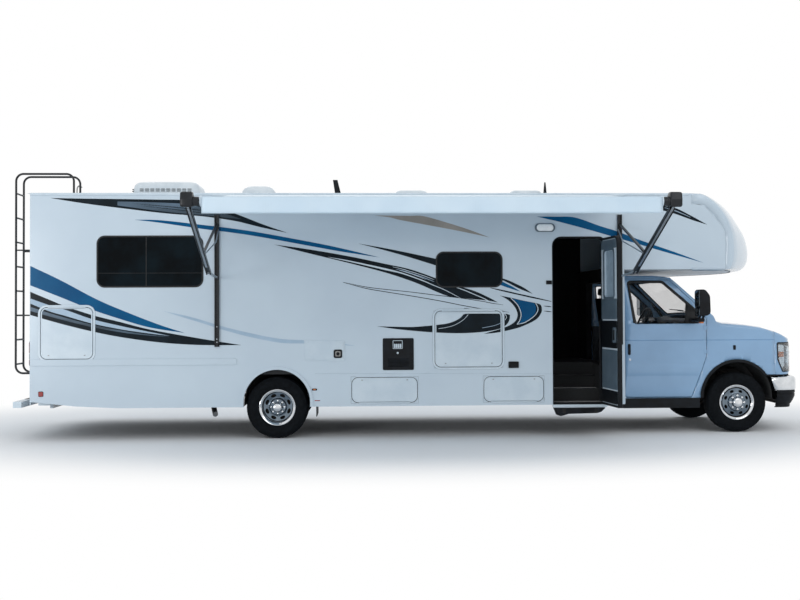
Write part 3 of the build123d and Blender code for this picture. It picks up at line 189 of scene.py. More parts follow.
# Steel-grey film with fine dark lines printed along the sweep of the stripe.
vinyl_grey = finish("printed_vinyl_steel_grey", "33404A", "5A6E80", 260, (0.2, 0.3), 3, 0.01,
                    stretch=(0.2, 1, 1.6), specular=0.2)
# Amber and red acrylic lenses: clear moulded plastic with a satin inner face.
amber = finish("moulded_amber_acrylic", "B4561A", "D06F22", 30, (0.1, 0.2), 3, 0.05, clear=0.8,
               ior=1.49)
red = finish("moulded_red_acrylic", "7E0D10", "9C1414", 30, (0.1, 0.2), 3, 0.05, clear=0.8,
             ior=1.49)
pale_lens = finish("moulded_clear_lens", "A9B4BC", "D3DBE0", 26, (0.06, 0.14), 5, 0.25,
                   clear=1.0, ior=1.49)
# Opal acrylic of the porch lamp: smooth, milky white, in faint patches of two whites.
opal = finish("opal_acrylic", "DDE3E6", "EDF1F3", 90, (0.12, 0.2), 20, 0.005, ior=1.49, milk=0.3,
              milk_reach=(0.01, 0.01, 0.01))
# Grey-tinted tempered glass, dark enough that the room behind hardly shows.
dark_glass = finish("grey_tempered_glass", "04080B", "0A161C", 300, (0.03, 0.07), 60, 0.02,
                    ior=1.52, specular=0.06)
# Clear tempered glass with the faint grey-green body of automotive panes.
clear_glass = finish("grey_green_automotive_glass", "10202B", "162934", 400, (0.02, 0.04), 90,
                     0.001, ior=1.45, alpha=0.14, specular=0.3)
# Clear polycarbonate lens, hard-coated: nearly colourless.
clear_lens = finish("moulded_clear_polycarbonate", "E8EEF2", "F2F6F8", 200, (0.01, 0.03), 80, 0.01,
                    ior=1.5, through=0.95)
# Silvered mirror glass and vacuum-metallised lamp bowls: smooth. The lamp bowls are bright; the
# mirror glass has a dark grey colour as painted dark reflection.
mirror_glass = finish("mirror_glass_painted_dark_reflection", "59636B", "636E76", 300, (0.01, 0.03), 60, 0.01,
                      metal=1.0)
reflector = finish("metallised_reflector", "B9C1C8", "C6CED4", 60, (0.08, 0.12), 40, 0.01,
                   metal=1.0)
# Obscured acrylic of the door pane: misty blue-grey, soft behind a stippled face.
obscure_glass = finish("stippled_acrylic", "7F93A3", "93A7B6", 90, (0.3, 0.45), 4, 0.2)
# Bitumen-sealed board: dull black underside of the floors, with a trowelled grain.
sealed = finish("bitumen_sealed_board", "14171A", "1E2226", 120, (0.7, 0.85), 8, 0.6)
# Napped lining of the cab and of the unlit rooms behind doors, no sheen. Its near black is painted
# shade of those unlit interiors.
shade_lining = finish("near_black_painted_shade_lining", "090B0E", "101418", 60, (0.85, 0.95), 2, 0.3)

# --------------------------------------------------------------- mesh building


def rounded(points, radius, steps=6):
    """A closed outline with rounded corners; radius is one value or one for each corner."""
    radii = radius if isinstance(radius, (list, tuple)) else [radius] * len(points)
    outline = []
    for index, (point, reach) in enumerate(zip(points, radii)):
        here = Vector(point)
        back = Vector(points[index - 1]) - here
        ahead = Vector(points[(index + 1) % len(points)]) - here
        if reach <= 0:
            outline.append(tuple(here))
            continue
        half = back.angle(ahead) / 2
        cut = min(reach / tan(half), 0.49 * back.length, 0.49 * ahead.length)
        first, last = here + back.normalized() * cut, here + ahead.normalized() * cut
        inward = (back.normalized() + ahead.normalized()).normalized()
        centre = here + inward * (cut / cos(half))
        a, b = first - centre, last - centre
        sweep = atan2(a.x * b.y - a.y * b.x, a.dot(b))
        for step in range(steps + 1):
            turn = Matrix.Rotation(sweep * step / steps, 2)
            outline.append(tuple(centre + turn @ a))
    return outline


def box(x0, x1, z0, z1):
    """A rectangle's corners."""
    return [(x0, z0), (x1, z0), (x1, z1), (x0, z1)]


def oblong(x0, x1, z0, z1, radius, steps=6):
    """A rectangle with rounded corners."""
    return rounded(box(x0, x1, z0, z1), radius, steps)


def flowing(points, steps=6):
    """A smooth line through the given points."""
    rows = [Vector(p) for p in points]
    rows = [2 * rows[0] - rows[1]] + rows + [2 * rows[-1] - rows[-2]]
    line = []
    for a, b, c, d in zip(rows, rows[1:], rows[2:], rows[3:]):
        for step in range(steps):
            t = step / steps
            line.append(0.5 * (2 * b + (c - a) * t + (2 * a - 5 * b + 4 * c - d) * t * t
                               + (3 * b - a - 3 * c + d) * t * t * t))
    return [tuple(p) for p in line] + [tuple(points[-1])]


def mm(x, y, z):
    """A point given in millimetres, in metres."""
    return Vector((x, y, z)) * MM


def put(axis, along, a, b):
    """A point from its place along an axis and its two other coordinates, in metres."""
    return mm(*{"x": (along, a, b), "y": (a, along, b), "z": (a, b, along)}[axis])


def skin(bm, loops, material=0, ring=True, caps=True):
    """Faces between a row of loops that all have the same number of points."""
    rows = [[bm.verts.new(p) for p in loop] for loop in loops]
    count = len(rows[0])
    for lower, upper in zip(rows, rows[1:]):
        for k in range(count if ring else count - 1):
            n = (k + 1) % count
            bm.faces.new((lower[k], lower[n], upper[n], upper[k])).material_index = material
    if caps:
        for row in (rows[0], rows[-1]):
            bm.faces.new(row).material_index = material


def sheet(bm, loops, material=0):
    """An open sheet of faces between lines of points."""
    skin(bm, loops, material, ring=False, caps=False)


def slab(bm, outline, axis, start, end, material=0):
    """A flat outline drawn out along an axis."""
    skin(bm, [[put(axis, t, *p) for p in outline] for t in (start, end)], material)


def hoop(bm, outer, inner, axis, start, end, material=0):
    """A flat frame between two outlines with equal numbers of points."""
    loops = [[put(axis, t, *p) for p in line]
             for line, t in ((outer, start), (outer, end), (inner, end), (inner, start))]
    skin(bm, loops + [loops[0]], material, caps=False)


def bar(bm, x, y, z, material=0):
    """A block between pairs of limits, to be finished by a bevel."""
    slab(bm, box(*x, *y), "z", *z, material)


def pipe(bm, path, radius, sides=12, material=0, squash=1.0, closed=False):
    """A round or flattened tube along a line of points; radius is one or one for each point."""
    points = [Vector(p) * MM for p in path]
    radii = radius if isinstance(radius, (list, tuple)) else [radius] * len(points)
    side = None
    loops = []
    for index, (point, reach) in enumerate(zip(points, radii)):
        before = points[index - 1] if index or closed else point
        after = points[(index + 1) % len(points)] if closed or index < len(points) - 1 else point
        run = (after - before).normalized()
        if side is None:
            side = run.cross(Vector((0, 0, 1)))
            side = side.normalized() if side.length > 0.01 else Vector((1, 0, 0))
        side = (side - run * side.dot(run)).normalized()
        up = run.cross(side)
        loops.append([point + (side * cos(a) + up * sin(a) * squash) * reach * MM
                      for a in (2 * pi * k / sides for k in range(sides))])
    skin(bm, loops + ([loops[0]] if closed else []), material, caps=not closed)


def turned(bm, profile, centre, axis="y", sign=1, steps=48, material=0):
    """A profile of (along, radius) points turned about an axis through centre."""
    turns = [2 * pi * k / steps for k in range(steps)]
    loops = []
    for along, radius in profile:
        ring = []
        for a in turns:
            offset = put(axis, sign * along, radius * cos(a), radius * sin(a))
            ring.append(mm(*centre) + offset)
        loops.append(ring)
    skin(bm, loops, material, caps=False)


def absorb(bm, mesh, matrix, material=0):
    """Adds a finished mesh to the one being built."""
    first = len(bm.faces)
    mesh.transform(matrix)
    bm.from_mesh(mesh)
    bm.faces.ensure_lookup_table()
    for face in bm.faces[first:]:
        face.material_index = material
    bpy.data.meshes.remove(mesh)


def placed(name, data):
    """A new object in the scene."""
    made = bpy.data.objects.new(name, data)
    bpy.context.scene.collection.objects.link(made)
    return made


def baked(holder):
    """An object's mesh with its modifiers applied."""
    bpy.context.view_layer.update()
    graph = bpy.context.evaluated_depsgraph_get()
    return bpy.data.meshes.new_from_object(holder.evaluated_get(graph))


def piece(name, bm, materials, body="vehicle", stands_for=(), bevel=0.0, crease=35,
          flat=False):
    """Closes a mesh into a named piece that rides on a body and takes the given materials."""
    bmesh.ops.remove_doubles(bm, verts=bm.verts, dist=0.02 * MM)
    bmesh.ops.dissolve_degenerate(bm, edges=bm.edges, dist=0.01 * MM)
    if not flat:
        bmesh.ops.recalc_face_normals(bm, faces=bm.faces)
    for face in bm.faces:
        face.smooth = True
    mesh = bpy.data.meshes.new(name)
    bm.to_mesh(mesh)
    bm.free()
    mesh.set_sharp_from_angle(angle=radians(crease))
    made = placed(name, mesh)
    for material in materials if isinstance(materials, (list, tuple)) else [materials]:
        mesh.materials.append(material)
    if bevel:
        edge = made.modifiers.new("eased_edges", "BEVEL")
        edge.width = bevel * MM
        edge.segments = 2
        edge.limit_method = "ANGLE"
        edge.angle_limit = radians(crease)
        edge.use_clamp_overlap = True
        edge.harden_normals = True
    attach(made, body)
    if stands_for:
        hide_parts(*stands_for)
    return made


def coat(material, *names):
    """Gives carried-over solids a finish."""
    for name in names:
        solid = nodes[name]
        for place in solid.material_slots:
            place.material = material
        if not solid.material_slots:
            solid.data.materials.append(material)


# ------------------------------------------------- geometry-node patterns


def pattern(name, ring):
    """A node group that repeats its own geometry round a circle or along a straight row."""
    tree = bpy.data.node_groups.new(name, "GeometryNodeTree")
    shape = ([("Radius", "Float")] if ring else [("Start", "Vector"), ("Pitch", "Vector")])
    for word, kind in (("Geometry", "Geometry"), ("Count", "Int"), ("Material", "Material"),
                       *shape):
        tree.interface.new_socket(name=word, in_out="INPUT", socket_type="NodeSocket" + kind)
    tree.interface.new_socket(name="Geometry", in_out="OUTPUT",
                              socket_type="NodeSocketGeometry")
    given = add(tree, "NodeGroupInput").outputs
    links = {"Instance": given["Geometry"]}
    if ring:
        links["Points"] = add(tree, "GeometryNodeMeshCircle", {
            "Vertices": given["Count"], "Radius": given["Radius"]})
        order = add(tree, "GeometryNodeInputIndex")
        share = add(tree, "ShaderNodeMath", {0: order, 1: given["Count"]}, operation="DIVIDE")
        turn = add(tree, "ShaderNodeMath", {0: share, 1: 2 * pi}, operation="MULTIPLY")
        facing = add(tree, "ShaderNodeCombineXYZ", {"Z": turn})
        links["Rotation"] = add(tree, "FunctionNodeEulerToRotation", {0: facing})
    else:
        links["Points"] = add(tree, "GeometryNodeMeshLine", {
            "Count": given["Count"], "Start Location": given["Start"],
            "Offset": given["Pitch"]}, mode="OFFSET")
    real = add(tree, "GeometryNodeRealizeInstances", {
        "Geometry": add(tree, "GeometryNodeInstanceOnPoints", links)})
    dressed = add(tree, "GeometryNodeSetMaterial", {
        "Geometry": real, "Material": given["Material"]})
    add(tree, "NodeGroupOutput", {"Geometry": dressed})
    return tree


round_pattern = pattern("repeat_round_a_circle", True)
row_pattern = pattern("repeat_along_a_row", False)


def repeated(tree, bm, **values):
    """The pattern's result as a plain mesh; bm is the one element that it repeats."""
    bmesh.ops.recalc_face_normals(bm, faces=bm.faces)
    seed = bpy.data.meshes.new("element")
    bm.to_mesh(seed)
    bm.free()
    holder = placed("pattern_holder", seed)
    run = holder.modifiers.new("pattern", "NODES")
    run.node_group = tree
    sockets = {item.name: item.identifier for item in tree.interface.items_tree
               if item.in_out == "INPUT"}
    for word, value in values.items():
        run[sockets[word]] = value
    result = baked(holder)
    bpy.data.objects.remove(holder)
    bpy.data.meshes.remove(seed)
    return result


def row(bm, element, material, count, start, pitch, index=0):
    """Adds a straight row of one element to the mesh being built."""
    mesh = repeated(row_pattern, element, Material=material, Count=count,
                    Start=tuple(mm(*start)), Pitch=tuple(mm(*pitch)))
    absorb(bm, mesh, Matrix.Identity(4), index)


def circle(bm, element, material, count, radius, centre, sign):
    """Adds a ring of one element about an axle, facing outboard on either side."""
    mesh = repeated(round_pattern, element, Material=material, Count=count, Radius=radius * MM)
    turn = Matrix.Rotation(radians(90 if sign < 0 else -90), 4, "X")
    absorb(bm, mesh, Matrix.Translation(mm(*centre)) @ turn)


def domed(profile, steps):
    """A small turned solid that stands on the XY plane."""
    bm = bmesh.new()
    turned(bm, profile, (0, 0, 0), "z", steps=steps)
    bmesh.ops.remove_doubles(bm, verts=bm.verts, dist=0.001 * MM)
    return bm


def screw_head(radius, height):
    """One low domed screw head."""
    return domed([(0, radius), (height * 0.6, radius * 0.8), (height, radius * 0.35),
                  (height, 0)], 8)


# ------------------------------------------------------------ camera and stage

IMAGE_WIDTH = 800                    # pixels; the two values below are in pixels too
FOCAL_LENGTH, HORIZON_DROP = 1053.4, 8.2
EYE = (0.956, -14.017, 1.516)
YAW, PITCH, ROLL = (radians(a) for a in (2.39, 1.12, -0.25))

scene = bpy.context.scene
lens_data = bpy.data.cameras.new("view")
lens_data.sensor_width = 36
lens_data.lens = FOCAL_LENGTH * lens_data.sensor_width / IMAGE_WIDTH
lens_data.shift_y = -HORIZON_DROP / IMAGE_WIDTH
lens_data.clip_end = 200
camera = placed("view", lens_data)
scene.camera = camera
ahead = Vector((sin(YAW) * cos(PITCH), cos(YAW) * cos(PITCH),
                sin(PITCH)))
right = Vector((cos(YAW), -sin(YAW), 0))
above = right.cross(ahead)
image_right = right * cos(ROLL) + above * sin(ROLL)
image_up = above * cos(ROLL) - right * sin(ROLL)
camera.matrix_world = (Matrix.Translation(EYE)
                       @ Matrix((image_right, image_up, -ahead)).transposed().to_4x4())

scene.view_settings.view_transform = "Standard"
world = bpy.data.worlds.new("studio")
scene.world = world
world.use_nodes = True
sky = world.node_tree
sky.nodes.clear()


def largest(tree, *values):
    """The largest of some values."""
    made = values[0]
    for value in values[1:]:
        made = add(tree, "ShaderNodeMath", {0: made, 1: value}, operation="MAXIMUM")
    return made


path = add(sky, "ShaderNodeLightPath").outputs
seen = largest(sky, path["Is Camera Ray"], path["Is Glossy Ray"], path["Is Transmission Ray"])
lit = add(sky, "ShaderNodeBackground", {"Color": linear("F4F7FA"), "Strength": 0.94})
white = add(sky, "ShaderNodeBackground", {"Color": (1, 1, 1, 1), "Strength": 1.0})
both = add(sky, "ShaderNodeMixShader", {0: seen, 1: lit, 2: white})
add(sky, "ShaderNodeOutputWorld", {"Surface": both})


def softbox(name, place, aim, size, power):
    """A large square lamp pointed at a spot."""
    lamp = bpy.data.lights.new(name, "AREA")
    lamp.shape = "RECTANGLE"
    lamp.size, lamp.size_y = size
    lamp.energy = power
    way = Vector(aim) - Vector(place)
    placed(name, lamp).matrix_world = (Matrix.Translation(place)
                                       @ way.to_track_quat("-Z", "Y").to_matrix().to_4x4())


softbox("key_softbox", (7.0, -12.0, 8.5), (1.5, 0.0, 1.2), (9, 6), 235)
softbox("fill_softbox", (-9.6, -15.0, 2.0), (2.4, 0.0, 1.8), (4.5, 3.5), 600)
softbox("far_softbox", (0.0, 11.0, 9.0), (1.5, 0.0, 1.5), (10, 5), 220)

# The floor is pale paper: it keeps the shadow near the wheels and runs out to plain white.
FLOOR_REACH, FLOOR_Z = 60, -0.001    # metres
floor_mesh = bpy.data.meshes.new("paper_floor")
bm = bmesh.new()
sheet(bm, [[Vector((x, y, FLOOR_Z)) for x in (-FLOOR_REACH, FLOOR_REACH)]
           for y in (-FLOOR_REACH, FLOOR_REACH)])
bm.to_mesh(floor_mesh)
bm.free()
floor = placed("paper_floor", floor_mesh)
paper, tree = bare_material("seamless_paper")
place = add(tree, "ShaderNodeTexCoord").outputs["Object"]
centred = add(tree, "ShaderNodeMapping", {
    "Vector": place, "Location": (-0.24, -0.14, 0), "Scale": (0.145, 0.22, 1)})
away = add(tree, "ShaderNodeVectorMath", {0: centred}, operation="LENGTH").outputs["Value"]
out = add(tree, "ShaderNodeMapRange", {"Value": away, "From Min": 0.75, "From Max": 1.25},
          interpolation_type="SMOOTHSTEP")
path = add(tree, "ShaderNodeLightPath").outputs
fibre = add(tree, "ShaderNodeTexNoise", {"Vector": place, "Scale": 30.0, "Detail": 4.0})
tone = mixed(tree, fibre.outputs["Fac"], linear("E4E6E8"), linear("EAECEE"))
matt = add(tree, "ShaderNodeBsdfDiffuse", {"Color": tone})
blank = add(tree, "ShaderNodeEmission", {"Color": (1, 1, 1, 1), "Strength": 1.0})
seen = largest(tree, path["Is Camera Ray"], path["Is Glossy Ray"])
fade = add(tree, "ShaderNodeMath", {0: out, 1: seen}, operation="MULTIPLY")
surface = add(tree, "ShaderNodeMixShader", {0: fade, 1: matt, 2: blank})
add(tree, "ShaderNodeOutputMaterial", {"Surface": surface})
floor_mesh.materials.append(paper)

# ------------------------------------------------------------- carried-over solids

coat(gelcoat, "right_wall", "left_wall", "rear_wall", "roof")
coat(chassis, "frame_rails", "fuel_tank")
coat(white_powder, "rear_bumper")
coat(cast, "front_axle", "knuckle_left", "knuckle_right", "rear_axle", "engine")
coat(steel, "exhaust")
coat(sealed, "house_floor")
# The front bulkhead takes the near-black lining, which is painted shade.
coat(shade_lining, "front_bulkhead")
coat(black_anodised, "ladder")
coat(black_trim, "boards_and_flaps")

# ------------------------------------------------------------------ wheels, tyres

WHEELBASE = 5720
AXLE_Z = 372
FRONT_TRACK, REAR_TRACK, TWIN = 881.5, 983, 127


def nut_cover(radius, height):
    """A chromed hexagonal nut cover with a domed end, standing on the XY plane."""
    return domed([(0, radius), (height * 0.7, radius * 0.94), (height * 0.9, radius * 0.7),
                  (height, radius * 0.3), (height, 0)], 6)


def holed_band(bm, inner, outer, depth, hole, centre, sign, material):
    """Part of a dished disc with eight oval hand holes; depth gives the dish at a radius."""
    steps, holes = 6, 8
    half = pi / holes
    for sector in range(holes):
        middle = 2 * pi * (sector + 0.5) / holes
        edge = [(inner, -half + 2 * half * k / steps) for k in range(steps)]
        edge += [(inner + (outer - inner) * k / steps, half) for k in range(steps)]
        edge += [(outer, half - 2 * half * k / steps) for k in range(steps)]
        edge += [(outer - (outer - inner) * k / steps, -half) for k in range(steps)]
        pitch = (inner + outer) / 2
        rim, lip, back = [], [], []
        for k, (radius, angle) in enumerate(edge):
            rim.append((radius, angle, depth(radius)))
            a = radians(225) - 2 * pi * k / len(edge)
            u, v = hole[0] * cos(a), hole[1] * sin(a)
            spot = (pitch + u, v / (pitch + u))
            lip.append((spot[0], spot[1], depth(spot[0])))
            back.append((spot[0] - u * 0.06, spot[1] * 0.94, depth(spot[0]) - 14))
        loops = []
        for ring in (rim, lip, back):
            loops.append([mm(*centre) + mm(radius * cos(middle + angle), sign * along,
                                           radius * sin(middle + angle))
                          for radius, angle, along in ring])
        skin(bm, loops, material, caps=False)


def tyre_piece(bm, centre, sign, tread):
    """A tyre's carcass: bead, ribbed sidewalls, shoulders and grooved crown, with shoulder lugs."""
    side = [(-78, 204), (-84, 214), (-87, 222), (-95, 236), (-97, 240), (-103, 256), (-104.5, 262),
            (-110, 285), (-111, 300), (-109.5, 318), (-107, 322), (-106, 332), (-103, 336),
            (-99, 352), (-93, 362)]
    side += [(-88, 366), (-68, 369), (-67, 361), (-59, 361), (-58, 370), (-31, 371.3), (-30, 362),
             (-23, 362), (-22, 371.6)]
    profile = side + [(-a, r) for a, r in reversed(side)] + [(70, 206), (-70, 206)]
    turned(bm, profile + [profile[0]], centre, "y", sign, steps=80)
    lugs, lug_root = 54, 366
    for edge in (-1, 1):
        lug = bmesh.new()
        y0, y1 = edge * 86, edge * 103.5
        outline = [(-7, y0), (7, y0), (8.5, y1), (-5.5, y1)]
        low = [mm(-14, y, x) for x, y in outline]
        top = [mm(2.2 if abs(y) < 90 else -9, y * 0.985, x * 0.9) for x, y in outline]
        skin(lug, [low, top])
        lug.transform(Matrix.Rotation(radians(90), 4, "X"))
        circle(bm, lug, tread, lugs, lug_root, centre, sign)


def wheel_disc(bm, centre, sign, deep):
    """Chromed wheel trim: rolled lip, barrel, dish with hand holes, nuts and hub cover."""
    def spun(profile, steps=64, material=0):
        turned(bm, profile, centre, "y", sign, steps, material)

    dish_in, dish_out = 114, 174
    lip = [(60, 204), (76, 206), (84, 213), (88, 219), (92, 218), (93, 213), (88, 202), (80, 190),
           (62, 184), (-30 if deep else 40, 182)]
    spun(lip)
    if deep:
        def depth(radius):
            return -46 + (radius - 118) * 0.14
        well = [(-30, 182), (-34, 179), (-38, 176)]
        hub = [(-46, 118), (-44, 108), (-30, 102), (-8, 98), (-4, 94), (-3, 62), (6, 58), (60, 55),
               (104, 52), (112, 46), (116, 36), (118, 18), (118, 0)]
        hole, cut, pitch, stand = (20, 34), 5, 78, -4
        drum = [(-100, 186), (-100, 60), (-60, 60)]
    else:
        def depth(radius):
            return 66 + (172 - radius) * 0.16
        well = [(40, 182), (38, 180), (44, 178), (60, 176)]
        hub = [(76, 112), (82, 108), (94, 106), (98, 102), (99, 68), (106, 64), (130, 60),
               (141, 52), (146, 40), (148, 20), (148, 0)]
        hole, cut, pitch, stand = (17, 26), 4, 86, 98
        drum = [(-40, 186), (-40, 60), (20, 60)]
    spun(well + [(depth(dish_out), dish_out)], material=1)
    holed_band(bm, dish_in, dish_out, depth, hole, centre, sign, 2)
    spun([(depth(dish_in), dish_in)] + hub[:cut], material=2)
    spun(hub[cut - 1:cut + 2], material=2)
    spun(hub[cut + 1:])
    circle(bm, nut_cover(18, 28), chrome, 8, pitch,
           (centre[0], centre[1] + sign * stand, centre[2]), sign)
    spun(drum, 32, 1)
    spun([(-60, 204), (-76, 206), (-84, 213), (-84, 219), (-88, 213), (-84, 200), (-60, 194),
          (-30 if deep else 40, 192)], material=1)


for side, sign in (("right", -1), ("left", 1)):
    hub = (WHEELBASE, sign * FRONT_TRACK, AXLE_Z)
    outboard, inboard = ((0, sign * (REAR_TRACK + twin), AXLE_Z) for twin in (TWIN, -TWIN))
    for axle, solid, trim, tread, centres in (
            (f"wheel_front_{side}", f"tyre_front_{side}", f"front_wheel_trim_{side}",
             f"front_tyre_{side}_tread", [hub]),
            (f"wheels_rear_{side}", f"tyres_rear_{side}", f"rear_wheel_trim_{side}",
             f"rear_tyres_{side}_tread", [inboard, outboard])):
        twins = len(centres) == 2
        bm = bmesh.new()
        wheel_disc(bm, centres[-1], sign, twins)
        if twins:
            turned(bm, [(88, 204), (92, 213), (90, 219), (82, 213), (76, 204), (-76, 204),
                        (-82, 213), (-88, 219), (-90, 210), (-80, 197), (60, 195), (88, 204)],
                   inboard, "y", sign, steps=64, material=1)
        piece(trim, bm, [chrome, cast, dish_steel], f"{axle}_body", (axle,))
        bm = bmesh.new()
        for centre in centres:
            tyre_piece(bm, centre, sign, tyre_rubber)
        piece(tread, bm, tyre_rubber, f"{axle}_body", (solid,))

# ------------------------------------------------------------------- house walls

WALL = 1270          # outer face of either side wall
INNER = 1220         # its inner face


def raised(bm, side, outline, start, end, material=0):
    """A flat outline on a side wall, between two heights above its face."""
    slab(bm, outline, "y", side * (WALL + start), side * (WALL + end), material)


WINDOW_CORNER = 92
BEDROOM, DINETTE = (-2143, -882, 1832, 2447), (1928, 2734, 1819, 2247)
KITCHEN, SOFA = (560, 1360, 1819, 2247), (2050, 3260, 1700, 2300)
WINDOWS = [(-1, BEDROOM), (-1, DINETTE), (1, BEDROOM), (1, KITCHEN), (1, SOFA)]
ENTRY = (3357, 3984, 389, 2411)      # the doorway: rear, front, bottom, top


def window(frames, panes, span, side, slider):
    """One house window: flush dark pane in a rounded black frame, with or without a slider."""
    x0, x1, z0, z1 = span
    face = side * (WALL + 6)
    outer = oblong(x0 - 5, x1 + 5, z0 - 5, z1 + 5, WINDOW_CORNER + 5, 8)
    lip = oblong(x0 + 1, x1 - 1, z0 + 1, z1 - 1, WINDOW_CORNER - 1, 8)
    inner = oblong(x0 + 14, x1 - 14, z0 + 14, z1 - 14, WINDOW_CORNER - 14, 8)
    hoop(frames, outer, lip, "y", side * WALL, face - side * 1.5)
    hoop(frames, lip, inner, "y", side * INNER, face)
    raised(panes, side, oblong(x0 + 12, x1 - 12, z0 + 12, z1 - 12, WINDOW_CORNER - 14, 8), -4, 3.5)
    if not slider:
        return
    middle = x0 + 0.46 * (x1 - x0)
    raised(frames, side, box(middle, middle + 9, z0 + 14, z1 - 14), 3, 4.6)
    level = z0 + 0.27 * (z1 - z0)
    raised(frames, side, box(x0 + 14, x1 - 14, level, level + 5), 3, 4.4)


frames_bm, panes_bm = bmesh.new(), bmesh.new()
for side, span in WINDOWS:
    window(frames_bm, panes_bm, span, side, slider=span is not DINETTE)
piece("house_window_frames", frames_bm, rubber,
      stands_for=("window_frames",), bevel=1.2)
piece("house_window_panes", panes_bm, dark_glass, stands_for=("fixed_glass",),
      bevel=1.0)

# Locker doors as (rear, front, bottom, top) and the edge that they hang from.
LOCKERS = {
    "rear": (-2813, -2187, 971, 1596, "top"),
    "dinette": (1905, 2732, 847, 1534, "top"),
    "middle_skirt": (896, 1699, 423, 736, "bottom"),
    "front_skirt": (2498, 3236, 423, 736, "bottom"),
}
ON_LEFT = ("rear", "middle_skirt")   # the lockers that the left wall has too


def corner_fillets(bm, span, side, radius, upper_only=False):
    """Flush fillets that bring the square corners of a wall's opening to its rounded frame."""
    x0, x1, z0, z1 = span
    corners = ((x1, z1, -1, -1), (x0, z1, 1, -1), (x0, z0, 1, 1), (x1, z0, -1, 1))
    for x, z, a, b in corners[:2] if upper_only else corners:
        outline = [(x, z)]
        for k in range(9):
            turn = pi / 2 * k / 8
            outline.append((x + a * radius * (1 - sin(turn)),
                            z + b * radius * (1 - cos(turn))))
        raised(bm, side, outline, -18, 0)


bm = bmesh.new()
for side, span in WINDOWS:
    corner_fillets(bm, span, side, WINDOW_CORNER + 10)
corner_fillets(bm, ENTRY, -1, 80, upper_only=True)
for side in (-1, 1):
    for name, (x0, x1, z0, z1, edge) in LOCKERS.items():
        if side < 0 or name in ON_LEFT:
            corner_fillets(bm, (x0 - 4, x1 + 4, z0 - 4, z1 + 4), side,
                           60 if edge == "top" else 88)
piece("opening_corners", bm, gelcoat)

# ------------------------------------------------------------------ side graphics


def pin_line(points, width):
    """The edges of a line of even width through the given points, narrowed at its tips."""
    last = len(points) - 1
    half = [width / 2 if 0 < k < last else width / 5 for k in range(last + 1)]
    return ([(x, z + h) for (x, z), h in zip(points, half)],
            [(x, z - h) for (x, z), h in zip(points, half)])


def edge_line(points, width):
    """The edges of a line that may run in any direction, of even width to its tips."""
    rows = [Vector(p) for p in points]
    upper, lower = [], []
    for k, spot in enumerate(rows):
        run = (rows[min(k + 1, len(rows) - 1)] - rows[max(k - 1, 0)]).normalized()
        away = Vector((-run.y, run.x)) * width / 2
        upper.append(tuple(spot + away))
        lower.append(tuple(spot - away))
    return upper, lower


